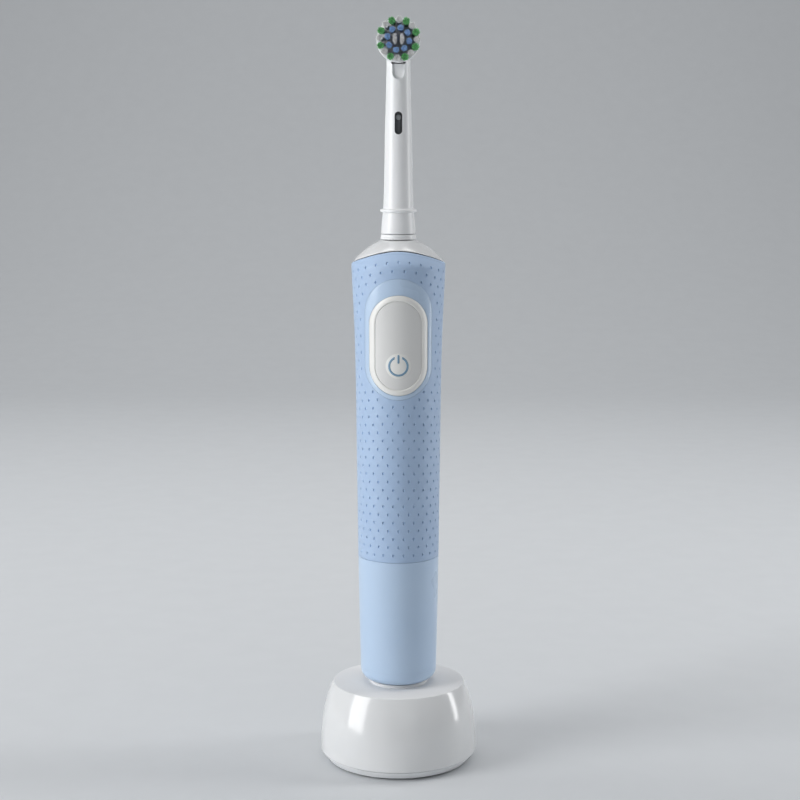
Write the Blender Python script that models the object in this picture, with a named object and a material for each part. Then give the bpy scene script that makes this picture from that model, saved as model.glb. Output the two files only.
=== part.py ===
"""Electric toothbrush standing on its charger.

Metres, +Z up, front towards -Y.  The origin is where the common vertical axis of
charger, handle and brush head meets the surface that the charger stands on.
Every length below is in millimetres; `mm` turns it into metres.
"""

import math

import bmesh
import bpy

mm = 0.001

# ------------------------------------------------------------- driving dimensions
gap = 0.3                       # running gap between pieces that touch or nest
thin_gap = 0.2                  # gap in the small fits of the brush head and seals

# charger
base_half_width = 25.5          # widest place of the shell, just over its lower rim
base_half_depth = base_half_width - 0.7
top_half_width = base_half_width - 4.1    # crisp edge of the flat top
top_half_depth = base_half_depth - 4.9
rim_height = 3.2                # lower rim of the shell
charger_height = 26.0           # flat top
charger_wall = 2.0
foot_undercut = 2.3             # how far the base plate stands back from the rim
plate_bottom = 0.6
plate_thickness = 3.4
plate_lip = 1.8                 # how far the plate spreads again under the rim
foot_ring_width = 2.2
foot_ring_margin = 1.0
foot_ring_depth = 0.9
seat_radius = 9.4               # raised land that the handle stands on
seat_height = 0.9
peg_radius = 4.4
peg_height = 19.0
peg_wall = 0.9
boss_circle = 12.1
boss_radius = 2.7
screw_radius = 1.1
screw_head_radius = 2.1
screw_head_height = 1.2
core_radius = 2.1
bobbin_radius = 8.6
bobbin_bottom = 6.4
bobbin_height = 12.0
bobbin_flange = 0.9
bobbin_wall = 0.9
inlet_height = 9.0
inlet_bore = 1.9
inlet_radius = 3.0
board_thickness = 1.2
charger_board = (18.0, 8.6)

# handle
handle_stand_off = 0.3          # clearance between handle and seat land
handle_foot_radius = 12.33      # smooth lower end, above its fillet
handle_waist_radius = 13.35     # grip at mid height
handle_button_radius = 13.85    # grip beside the button
shoulder_radius = 14.9          # widest place, under the dome
handle_length = 143.1           # handle foot to the top of the dome
dome_height = 8.2               # widest place to the top of the dome
collar_radius = 5.7             # top of the dome, under the brush head
dome_roundness = 1.45           # superellipse exponent of the dome
foot_fillet = 3.5
foot_cap_height = 4.2
sleeve_start = 41.3             # foot of the handle to the lower edge of the sleeve
sleeve_thickness = 1.3
housing_wall = 2.2
cap_thickness = 1.2
seam_front_drop = 3.0           # shoulder seam below the dome top, front and back
seam_side_drop = 7.1            # shoulder seam below the dome top, at the sides
seam_roundness = 1.3            # how quickly the seam rises from the sides
socket_radius = 5.0             # socket in the handle's foot for the peg
socket_wall = 1.1

# button in the front of the handle
button_width = 18.2
button_height = 31.5
button_top = 126.7              # above the handle's foot
button_bottom = button_top - button_height
frame_width = button_width + 2.7
frame_bottom = button_bottom - 1.4
frame_height = button_height + 6.5
button_thickness = 1.4
button_travel = 0.8
pad_width = 14.6
pad_margin = 1.8
symbol_height = button_bottom + 9.4       # centre of the round symbol dome

# inside the handle
cell_radius = 7.0
cell_length = 50.0
cell_start = 24.0               # above the handle's foot
motor_radius = 5.4
motor_length = 25.0
pinion_teeth = 9
gear_teeth = 18
gear_module = 0.4
gear_thickness = 2.4
gear_offset = 2.8               # gear axle in front of the drive shaft
rock_angle = 22.5               # degrees each way
shaft_radius = 1.5
shaft_above_dome = 16.0
stub_above_dome = 9.8
stub_radius = 3.1
seal_radius = 3.6
bearing_radius = 3.0
bearing_height = 2.4

# brush head
head_length = 67.8              # head foot to the highest point of the disc
disc_radius = 6.7
ring_height = 1.5               # coloured ring at the head's foot
ring_top_radius = 5.5
neck_foot_radius = 4.4
neck_top_radius = 3.74
flange_radius = 5.77
flange_height = 8.9             # above the head's foot
neck_bore = 3.4
cup_radius = 5.9
cup_wall = 0.95
cup_back = 3.9
cup_front = -3.3
window_width = 2.35
window_height = 7.0
window_bottom = head_length - 35.2
slot_width = 4.5                # slot for the link's arm, behind the disc
recess_bottom = head_length - 18.3        # above the head's foot
link_radius = 1.3
link_crank = 2.9                # crank of the link and lever of the carrier
link_pin_radius = 0.45
arm_drop = 2.1                  # underside of the link's arm, below the carrier hub
arm_height = 1.6
recess_width = 3.8              # shallow recess in the neck's front, below the slot
recess_floor = 2.75             # floor of the recess in front of the axis
hub_radius = 4.5
axle_radius = 0.8
plate_front = -6.7
bristle_length = 7.4
tuft_root_radius = 0.65
outer_tuft_circle = 5.25
inner_tuft_circle = 3.3
outer_tufts = 8
green_start = -20.5             # degrees clockwise from the top of the disc
white_start = 3.0
blue_start = 12.0

big_sides = 28
middle_sides = 20
small_sides = 12
tiny_sides = 8

# ------------------------------------------------------------------ derived places
handle_foot = charger_height + seat_height + handle_stand_off
dome_top = handle_foot + handle_length
dome_foot = dome_top - dome_height
head_foot = dome_top + gap
disc_height = head_foot + head_length - disc_radius
sleeve_foot = handle_foot + sleeve_start
housing_top = dome_top - 9.7
bore_radius = handle_waist_radius - sleeve_thickness - gap - housing_wall + 0.6
bearing_deck = housing_top - bearing_height
gear_distance = gear_module * (pinion_teeth + gear_teeth) / 2


# ------------------------------------------------------------------------- helpers
def clear_scene():
    """Removes what a new Blender file starts with."""
    for thing in list(bpy.data.objects):
        bpy.data.objects.remove(thing, do_unlink=True)


def make_material(name, colour, roughness, metallic=0.0):
    """Principled material from a colour, a roughness and a metallic value."""
    material = bpy.data.materials.new(name)
    material.use_nodes = True
    shader = material.node_tree.nodes["Principled BSDF"]
    shader.inputs["Base Color"].default_value = (*colour, 1.0)
    shader.inputs["Roughness"].default_value = roughness
    shader.inputs["Metallic"].default_value = metallic
    return material


def make_empty(name, position, parent=None):
    """Joint frame at a world position in millimetres."""
    empty = bpy.data.objects.new(name, None)
    bpy.context.collection.objects.link(empty)
    empty.empty_display_size = 5 * mm
    empty.parent = parent
    empty["world_mm"] = position
    start = parent["world_mm"] if parent else (0, 0, 0)
    empty.location = [(here - there) * mm for here, there in zip(position, start)]
    return empty


def add_object(name, mesh_tools, material=None, parent=None):
    """Turns a bmesh drawn in world millimetres into a node under its joint frame."""
    bmesh.ops.remove_doubles(mesh_tools, verts=mesh_tools.verts, dist=0.0005)
    bmesh.ops.recalc_face_normals(mesh_tools, faces=mesh_tools.faces)
    start = parent["world_mm"] if parent else (0, 0, 0)
    for vertex in mesh_tools.verts:
        vertex.co = [(here - there) * mm for here, there in zip(vertex.co, start)]
    mesh = bpy.data.meshes.new(name)
    mesh_tools.to_mesh(mesh)
    mesh_tools.free()
    mesh.shade_smooth()
    mesh.set_sharp_from_angle(angle=math.radians(35))
    node = bpy.data.objects.new(name, mesh)
    bpy.context.collection.objects.link(node)
    node.parent = parent
    if material:
        mesh.materials.append(material)
    return node


def cutter(name, mesh_tools):
    """An object that only cuts others."""
    node = add_object(name, mesh_tools)
    node.hide_render = True
    node.display_type = "WIRE"
    return node


def combine(node, other, operation):
    """Boolean modifier with the exact solver."""
    modifier = node.modifiers.new(f"{operation.lower()} {other.name}", "BOOLEAN")
    modifier.operation = operation
    modifier.object = other
    modifier.solver = "EXACT"


def cut(node, *others):
    for other in others:
        combine(node, other, "DIFFERENCE")


def join(node, *others):
    for other in others:
        combine(node, other, "UNION")


def keep_common(node, other):
    combine(node, other, "INTERSECT")


def add_rings(mesh_tools, rings):
    """Faces between closed rings of points; the last ring joins the first one.

    A ring is a list of points, or a single point on the axis.
    """
    rows = [[mesh_tools.verts.new(point) for point in ring] for ring in rings]
    for this, following in zip(rows, rows[1:] + rows[:1]):
        count = max(len(this), len(following))
        if count == 1:
            continue
        for index in range(count):
            after = (index + 1) % count
            corners = [this[index % len(this)], this[after % len(this)],
                       following[after % len(following)], following[index % len(following)]]
            corners = [c for place, c in enumerate(corners) if c not in corners[:place]]
            mesh_tools.faces.new(corners)


def oval(half_width, half_depth, height, sides, centre=(0.0, 0.0)):
    """Points of a level ellipse, or one point where it closes on the axis."""
    if half_width < 1e-6:
        return [(centre[0], centre[1], height)]
    step = 2 * math.pi / sides
    angles = [step * (index + 0.5) for index in range(sides)]
    return [(centre[0] + half_width * math.cos(angle),
             centre[1] + half_depth * math.sin(angle), height) for angle in angles]


def turned(profile, sides=middle_sides, centre=(0.0, 0.0)):
    """Body turned about a vertical axis; the profile lists (radius, height)."""
    mesh_tools = bmesh.new()
    add_rings(mesh_tools, [oval(radius, radius, height, sides, centre)
                           for radius, height in profile])
    return mesh_tools


def turned_forward(profile, sides=middle_sides, centre=(0.0, 0.0)):
    """Body turned about an axis along Y; the profile lists (radius, y)."""
    mesh_tools = bmesh.new()
    rings = []
    for radius, depth in profile:
        ring = oval(radius, radius, 0.0, sides, centre)
        rings.append([(x, depth, z) for x, z, _ in ring])
    add_rings(mesh_tools, rings)
    return mesh_tools


def rod(radius, bottom, top, sides=small_sides, centre=(0.0, 0.0)):
    return turned([(0, bottom), (radius, bottom), (radius, top), (0, top)], sides, centre)


def tube(inner, outer, bottom, top, sides=middle_sides, centre=(0.0, 0.0)):
    return turned([(inner, bottom), (outer, bottom), (outer, top), (inner, top)],
                  sides, centre)


def forward_rod(radius, back, front, sides=small_sides, centre=(0.0, 0.0)):
    return turned_forward([(0, back), (radius, back), (radius, front), (0, front)],
                          sides, centre)


def prism(outline, start, end, lift):
    """Body between two copies of an outline; lift places an outline point at a level."""
    mesh_tools = bmesh.new()
    first = [mesh_tools.verts.new(lift(point, start)) for point in outline]
    last = [mesh_tools.verts.new(lift(point, end)) for point in outline]
    mesh_tools.faces.new(first)
    mesh_tools.faces.new(last)
    count = len(outline)
    for index in range(count):
        after = (index + 1) % count
        mesh_tools.faces.new([first[index], first[after], last[after], last[index]])
    return mesh_tools


def upright(point, level):
    return (point[0], point[1], level)


def facing(point, level):
    return (point[0], level, point[1])


def box(low, high):
    outline = [(low[0], low[1]), (high[0], low[1]), (high[0], high[1]), (low[0], high[1])]
    return prism(outline, low[2], high[2], upright)


def stadium(width, bottom, height, arc_steps=10):
    """Upright outline with two half-round ends, as (x, z) points."""
    radius = width / 2
    points = []
    for centre, start in ((bottom + height - radius, 0.0), (bottom + radius, math.pi)):
        for index in range(arc_steps + 1):
            angle = start + math.pi * index / arc_steps
            points.append((radius * math.cos(angle), centre + radius * math.sin(angle)))
    return points


def smooth_curve(points, place):
    """Height along a smooth curve through (place, height) points."""
    slopes = []
    for index in range(len(points)):
        before = points[max(index - 1, 0)]
        after = points[min(index + 1, len(points) - 1)]
        slopes.append((after[1] - before[1]) / (after[0] - before[0]))
    for index in range(len(points) - 1):
        (x0, y0), (x1, y1) = points[index], points[index + 1]
        if place <= x1 or index == len(points) - 2:
            t = (place - x0) / (x1 - x0)
            span = x1 - x0
            return ((1 + 2 * t) * (1 - t) ** 2 * y0 + t * (1 - t) ** 2 * span * slopes[index]
                    + t * t * (3 - 2 * t) * y1 - t * t * (1 - t) * span * slopes[index + 1])


def handle_radius(height):
    """Outer radius of the whole handle at a height, the dome included."""
    if height > dome_foot:
        collar_share = (collar_radius / shoulder_radius) ** dome_roundness
        full_height = dome_height / (1 - collar_share) ** (1 / dome_roundness)
        share = min((height - dome_foot) / full_height, 1.0)
        return shoulder_radius * (1 - share ** dome_roundness) ** (1 / dome_roundness)
    body = dome_foot - handle_foot
    points = [(handle_foot + foot_fillet, handle_foot_radius),
              (handle_foot + 0.22 * body, (handle_foot_radius + handle_waist_radius) / 2 + 0.06),
              (handle_foot + 0.50 * body, handle_waist_radius),
              (handle_foot + 0.80 * body, handle_button_radius),
              (dome_foot, shoulder_radius)]
    return smooth_curve(points, max(height, handle_foot + foot_fillet))


def shoulder_seam(angle):
    """Height of the seam between sleeve and shoulder cap, raised at front and back."""
    raised = abs(math.sin(angle)) ** seam_roundness
    drop = seam_side_drop + (seam_front_drop - seam_side_drop) * raised
    return dome_top - drop


def seam_ring(shift, share, shrink, drop=0.0, start=None):
    """Ring on the dome, between a level start and the seam or the seam and the top."""
    ring = []
    for index in range(big_sides):
        angle = 2 * math.pi * (index + 0.5) / big_sides
        seam = shoulder_seam(angle) + shift
        other = dome_top if start is None else start
        height = seam + (other - seam) * share
        radius = handle_radius(height) - shrink
        ring.append((radius * math.cos(angle), radius * math.sin(angle), height - drop))
    return ring


def levels(start, end, count):
    return [start + (end - start) * index / count for index in range(count + 1)]


def gear_outline(teeth, module, centre, phase):
    """Outline of a spur gear with plain, slightly slim teeth."""
    pitch = module * teeth / 2
    root = pitch - 1.15 * module
    tip = pitch + 0.85 * module
    points = []
    for tooth in range(teeth):
        middle = phase + 2 * math.pi * tooth / teeth
        for radius, share in ((root, -0.32), (tip, -0.13), (tip, 0.13), (root, 0.32)):
            angle = middle + share * 2 * math.pi / teeth
            points.append((centre[0] + radius * math.cos(angle),
                           centre[1] + radius * math.sin(angle)))
    return points


# ----------------------------------------------------------------------- materials
def make_materials():
    return {
        "white gloss": make_material("white gloss plastic", (0.86, 0.87, 0.88), 0.22),
        "white": make_material("white plastic", (0.84, 0.86, 0.87), 0.35),
        "button": make_material("off-white button plastic", (0.68, 0.68, 0.66), 0.45),
        "pad": make_material("grey soft pad", (0.62, 0.63, 0.63), 0.55),
        "blue": make_material("blue grip rubber", (0.36, 0.50, 0.74), 0.55),
        "light blue": make_material("light blue plastic", (0.48, 0.62, 0.83), 0.35),
        "dark": make_material("dark grey plastic", (0.05, 0.05, 0.06), 0.50),
        "rubber": make_material("grey rubber", (0.20, 0.20, 0.21), 0.80),
        "steel": make_material("steel", (0.62, 0.62, 0.63), 0.30, 1.0),
        "bronze": make_material("sintered bronze", (0.45, 0.31, 0.16), 0.45, 1.0),
        "copper": make_material("copper winding", (0.60, 0.27, 0.12), 0.40, 1.0),
        "ferrite": make_material("ferrite", (0.06, 0.06, 0.06), 0.60),
        "board": make_material("circuit board", (0.03, 0.16, 0.07), 0.50),
        "cell": make_material("battery sleeve", (0.05, 0.20, 0.32), 0.35),
        "acetal": make_material("acetal", (0.80, 0.79, 0.74), 0.45),
        "green bristle": make_material("green nylon", (0.10, 0.42, 0.14), 0.50),
        "white bristle": make_material("white nylon", (0.88, 0.89, 0.88), 0.50),
        "blue bristle": make_material("blue nylon", (0.17, 0.35, 0.78), 0.50),
    }


# ------------------------------------------------------------------------- charger
def charger_section(height):
    """Half width and half depth of the charger's outside at a height."""
    share = (height - rim_height) / (charger_height - rim_height)
    bulge = 1 - share ** 2.6
    return (top_half_width + (base_half_width - top_half_width) * bulge,
            top_half_depth + (base_half_depth - top_half_depth) * bulge)


def boss_places():
    for angle in (30, 150, 270):
        turn = math.radians(angle)
        yield boss_circle * math.cos(turn), boss_circle * math.sin(turn)


def make_charger_shell(materials):
    outside = []
    inside = []
    ceiling = charger_height - charger_wall
    peg_top = charger_height + peg_height
    for height in levels(rim_height, charger_height - 0.5, 5):
        width, depth = charger_section(height)
        outside.append(oval(width, depth, height, big_sides))
    width, depth = charger_section(charger_height)
    outside.append(oval(width - 0.5, depth - 0.5, charger_height, big_sides))
    land = [(seat_radius, 0), (seat_radius, seat_height), (peg_radius, seat_height),
            (peg_radius, peg_height - 1.2), (peg_radius - 1.2, peg_height), (0, peg_height)]
    for radius, height in land:
        outside.append(oval(radius, radius, charger_height + height, big_sides))
    bore = peg_radius - peg_wall
    inside.append(oval(0, 0, peg_top - peg_wall - 0.3, big_sides))
    inside.append(oval(bore, bore, peg_top - peg_wall - 0.3, big_sides))
    inside.append(oval(bore, bore, ceiling, big_sides))
    for height in reversed(levels(rim_height, ceiling, 3)):
        width, depth = charger_section(height)
        inside.append(oval(width - charger_wall, depth - charger_wall, height, big_sides))
    tools = bmesh.new()
    add_rings(tools, outside + inside)
    shell = add_object("charger_shell", tools, materials["white gloss"])
    plate_top = plate_bottom + plate_thickness
    for number, place in enumerate(boss_places(), 1):
        boss = rod(boss_radius, plate_top + gap, ceiling + 0.6, tiny_sides, place)
        join(shell, cutter(f"boss {number}", boss))
    for number, place in enumerate(boss_places(), 1):
        hole = rod(screw_radius + thin_gap, 0, plate_top + 8.0, tiny_sides, place)
        cut(shell, cutter(f"boss hole {number}", hole))
    depth = charger_section(inlet_height)[1]
    hole = forward_rod(inlet_radius + gap, depth + 2, depth - charger_wall - 3,
                       small_sides, (0, inlet_height))
    cut(shell, cutter("inlet hole", hole))


def make_base_plate(materials):
    top = plate_bottom + plate_thickness
    width = base_half_width - foot_undercut
    depth = base_half_depth - foot_undercut
    outer = width - foot_ring_margin
    inner = outer - foot_ring_width
    outer_depth = depth - foot_ring_margin
    inner_depth = outer_depth - foot_ring_width
    groove_top = foot_ring_depth + gap
    tools = bmesh.new()
    add_rings(tools, [oval(0, 0, plate_bottom, big_sides),
                      oval(inner - gap, inner_depth - gap, plate_bottom, big_sides),
                      oval(inner - gap, inner_depth - gap, groove_top, big_sides),
                      oval(outer + gap, outer_depth + gap, groove_top, big_sides),
                      oval(outer + gap, outer_depth + gap, plate_bottom, big_sides),
                      oval(width, depth, plate_bottom, big_sides),
                      oval(width + plate_lip, depth + plate_lip, rim_height - gap, big_sides),
                      oval(width, depth, rim_height - gap, big_sides),
                      oval(width, depth, top, big_sides),
                      oval(0, 0, top, big_sides)])
    plate = add_object("charger_base_plate", tools, materials["white"])
    tools = bmesh.new()
    add_rings(tools, [oval(inner, inner_depth, 0, big_sides),
                      oval(outer, outer_depth, 0, big_sides),
                      oval(outer, outer_depth, foot_ring_depth, big_sides),
                      oval(inner, inner_depth, foot_ring_depth, big_sides)])
    add_object("charger_foot_ring", tools, materials["rubber"])
    recess = plate_bottom + screw_head_height
    for number, (x, y) in enumerate(boss_places(), 1):
        tools = turned([(0, -1), (screw_head_radius + gap, -1),
                        (screw_head_radius + gap, recess + thin_gap),
                        (screw_radius + thin_gap, recess + thin_gap),
                        (screw_radius + thin_gap, top + 1), (0, top + 1)],
                       tiny_sides, (x, y))
        cut(plate, cutter(f"screw hole {number}", tools))
        tools = turned([(0, plate_bottom), (screw_head_radius, plate_bottom),
                        (screw_head_radius, recess), (screw_radius, recess),
                        (screw_radius, top + 6.5), (0, top + 7.2)], tiny_sides, (x, y))
        add_object(f"base_screw_{number}", tools, materials["steel"])


def make_charger_electrics(materials):
    core_bottom = bobbin_bottom - 1.2
    core_top = charger_height + peg_height - peg_wall - 2.0
    add_object("ferrite_core", rod(core_radius, core_bottom, core_top),
               materials["ferrite"])
    inner = core_radius + gap
    barrel = inner + bobbin_wall
    top = bobbin_bottom + bobbin_height
    tools = turned([(inner, bobbin_bottom), (bobbin_radius, bobbin_bottom),
                    (bobbin_radius, bobbin_bottom + bobbin_flange),
                    (barrel, bobbin_bottom + bobbin_flange),
                    (barrel, top - bobbin_flange), (bobbin_radius, top - bobbin_flange),
                    (bobbin_radius, top), (inner, top)])
    add_object("coil_bobbin", tools, materials["acetal"])
    tools = tube(barrel + gap, bobbin_radius - gap, bobbin_bottom + bobbin_flange + gap,
                 top - bobbin_flange - gap)
    add_object("charger_coil", tools, materials["copper"])
    half = charger_board[0] / 2
    near = bobbin_radius + 0.6
    level = plate_bottom + plate_thickness + 1.0
    tools = box((-half, near, level), (half, near + charger_board[1] - 1.8,
                                             level + board_thickness))
    add_object("charger_circuit_board", tools, materials["board"])
    depth = charger_section(inlet_height)[1]
    inside = depth - charger_wall - gap - 0.9
    flange = inlet_radius + 1.2
    tools = turned_forward([(inlet_bore, depth - gap), (inlet_radius, depth - gap),
                            (inlet_radius, inside),
                            (flange, inside), (flange, inside - 1.2),
                            (inlet_bore, inside - 1.2)], small_sides, (0, inlet_height))
    add_object("cord_inlet_bush", tools, materials["white"])
    capacitor = rod(2.2, level + board_thickness + gap, level + board_thickness + 9.0,
                    tiny_sides, (half - 2.6, near + 2.8))
    add_object("charger_capacitor", capacitor, materials["dark"])


# -------------------------------------------------------------------------- handle
def make_handle_shells(materials, parent):
    foot_cap_top = handle_foot + foot_cap_height
    socket_top = charger_height + peg_height + 0.6
    tube_radius = socket_radius + socket_wall
    spigot = bore_radius - gap
    spigot_inner = spigot - 2.2
    seal_groove = spigot - 1.0
    profile = [(socket_radius, handle_foot)]
    for step in levels(0, math.pi / 2, 4):
        profile.append((handle_foot_radius - foot_fillet * (1 - math.sin(step)),
                        handle_foot + foot_fillet * (1 - math.cos(step))))
    profile += [(handle_foot_radius, foot_cap_top), (spigot, foot_cap_top),
                (spigot, foot_cap_top + 1.4), (seal_groove, foot_cap_top + 1.4),
                (seal_groove, foot_cap_top + 3.0), (spigot, foot_cap_top + 3.0),
                (spigot, foot_cap_top + 4.2), (spigot_inner, foot_cap_top + 4.2),
                (spigot_inner, foot_cap_top), (tube_radius, foot_cap_top),
                (tube_radius, socket_top + 1.2), (0, socket_top + 1.2),
                (0, socket_top), (socket_radius, socket_top)]
    add_object("bottom_cap", turned(profile, big_sides), materials["light blue"], parent)
    tools = tube(seal_groove + 0.15, bore_radius - 0.15, foot_cap_top + 1.6,
                 foot_cap_top + 2.8, big_sides)
    add_object("bottom_cap_seal", tools, materials["rubber"], parent)
    coil_bottom = foot_cap_top + 4.2 + gap
    tools = tube(tube_radius + gap, bore_radius - 0.9, coil_bottom, socket_top, middle_sides)
    add_object("charging_coil", tools, materials["copper"], parent)

    inset = sleeve_thickness + gap
    top = housing_top
    profile = [(handle_radius(height), height)
               for height in levels(foot_cap_top + thin_gap, sleeve_foot - thin_gap, 2)]
    profile += [(handle_radius(height) - inset, height)
                for height in levels(sleeve_foot - thin_gap, top - 1.4, 5)]
    profile += [(handle_radius(top - 1.4) - inset, top), (bearing_radius + gap, top),
                (bearing_radius + gap, bearing_deck - gap),
                (bore_radius, bearing_deck - gap),
                (bore_radius, foot_cap_top + thin_gap)]
    housing = add_object("handle_housing", turned(profile, big_sides),
                         materials["light blue"], parent)
    low = button_bottom + handle_foot
    pocket = prism(stadium(button_width + 2 * gap, low - gap, button_height + 2 * gap),
                   -20, -5, facing)
    floor = handle_button_radius - button_thickness - button_travel - gap
    ring = turned([(floor, low - 9), (floor, low + button_height + 9),
                   (30, low + button_height + 9), (30, low - 9)], big_sides)
    pocket = cutter("button pocket", pocket)
    keep_common(pocket, cutter("button pocket floor", ring))
    cut(housing, pocket)
    hole = forward_rod(1.6, -20, -5, tiny_sides, (0, handle_foot + symbol_height))
    cut(housing, cutter("plunger hole", hole))

    window = prism(stadium(frame_width + 2 * thin_gap, frame_bottom + handle_foot - thin_gap,
                           frame_height + 2 * thin_gap), -20, -3, facing)
    wall_top = dome_foot - 2.6
    heights = levels(sleeve_foot, wall_top, 5)
    rings = [oval(handle_radius(h), handle_radius(h), h, big_sides) for h in heights]
    rings += [seam_ring(-0.15, share, 0.0, 0.0, wall_top) for share in (0.75, 0.5, 0.25, 0)]
    rings += [seam_ring(-0.15, share, sleeve_thickness + 0.6 * (1 - share), 0.0, wall_top)
              for share in (0, 0.25, 0.5, 0.75)]
    rings += [oval(handle_radius(h) - sleeve_thickness, handle_radius(h) - sleeve_thickness,
                   h, big_sides) for h in reversed(heights)]
    tools = bmesh.new()
    add_rings(tools, rings)
    sleeve = add_object("grip_sleeve", tools, materials["blue"], parent)
    cut(sleeve, cutter("frame window", window))


def make_button_parts(materials, handle, button):
    foot = handle_foot
    inset = sleeve_thickness
    low = foot + frame_bottom

    def front_shell(bottom, height, thickness, proud):
        heights = levels(bottom - 1, bottom + height + 1, 4)
        profile = [(handle_radius(min(h, dome_foot)) + proud, h) for h in heights]
        profile += [(handle_radius(min(h, dome_foot)) - thickness, h)
                    for h in reversed(heights)]
        return turned(profile, big_sides)

    frame = add_object("button_frame", front_shell(low, frame_height, inset, 0.15),
                       materials["light blue"], handle)
    outline = prism(stadium(frame_width, low, frame_height), -20, -3, facing)
    keep_common(frame, cutter("frame outline", outline))
    inner = prism(stadium(button_width + 2 * thin_gap, foot + button_bottom - thin_gap,
                          button_height + 2 * thin_gap), -21, -2, facing)
    cut(frame, cutter("frame opening", inner))

    low = foot + button_bottom
    shape = add_object("power_button", front_shell(low, button_height, button_thickness, 0.3),
                       materials["button"], button)
    outline = prism(stadium(button_width, low, button_height), -20, -3, facing)
    keep_common(shape, cutter("button outline", outline))
    pad_low = low + pad_margin
    pad_height = button_height - 2 * pad_margin
    recess = turned([(handle_button_radius - 0.45, low - 2),
                     (handle_button_radius - 0.45, low + button_height + 2),
                     (30, low + button_height + 2), (30, low - 2)], big_sides)
    recess = cutter("pad recess", recess)
    outline = prism(stadium(pad_width + 2 * thin_gap, pad_low - thin_gap,
                            pad_height + 2 * thin_gap), -21, -4, facing)
    keep_common(recess, cutter("pad recess outline", outline))
    cut(shape, recess)
    pad = add_object("button_pad", turned(
        [(handle_button_radius - 0.25, low - 2), (handle_button_radius + 0.2, low - 2),
         (handle_button_radius + 0.2, low + button_height + 2),
         (handle_button_radius - 0.25, low + button_height + 2)], big_sides),
        materials["pad"], button)
    outline = prism(stadium(pad_width, pad_low, pad_height), -20, -5, facing)
    keep_common(pad, cutter("pad outline", outline))


def make_cell_and_board(materials, parent, plunger):
    foot = handle_foot
    low = foot + cell_start
    high = low + cell_length
    tools = turned([(0, low), (cell_radius, low), (cell_radius, high - 1.2),
                    (2.8, high - 1.2), (2.8, high), (0, high)])
    add_object("battery", tools, materials["cell"], parent)
    tools = turned([(0, low - 1.7), (5.4, low - 1.7), (5.4, low - 1.3), (2.6, low - 0.9),
                    (2.6, low - gap), (0, low - gap)], small_sides)
    add_object("battery_spring", tools, materials["steel"], parent)
    add_object("battery_contact", rod(5.0, high + gap, high + gap + 0.5),
               materials["steel"], parent)
    front = -7.3
    board_low = high + 3.0
    board_high = foot + symbol_height + 6.5
    tools = box((-5.2, front, board_low), (5.2, front + 1.0, board_high))
    add_object("handle_circuit_board", tools, materials["board"], parent)
    middle = foot + symbol_height
    wall = bore_radius - 0.6
    body = add_object("switch_body",
                      box((-2.6, -wall + 0.1, middle - 2.6), (2.6, front - gap, middle + 2.6)),
                      materials["dark"], parent)
    well = forward_rod(1.5, -wall - 1, front - 0.9, tiny_sides, (0, middle))
    cut(body, cutter("switch well", well))
    inner = front - 0.9 - button_travel - gap
    outer = -(handle_radius(middle) - button_thickness) + gap
    tools = forward_rod(1.1, inner, outer, tiny_sides, (0, middle))
    add_object("switch_plunger", tools, materials["acetal"], plunger)


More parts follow.
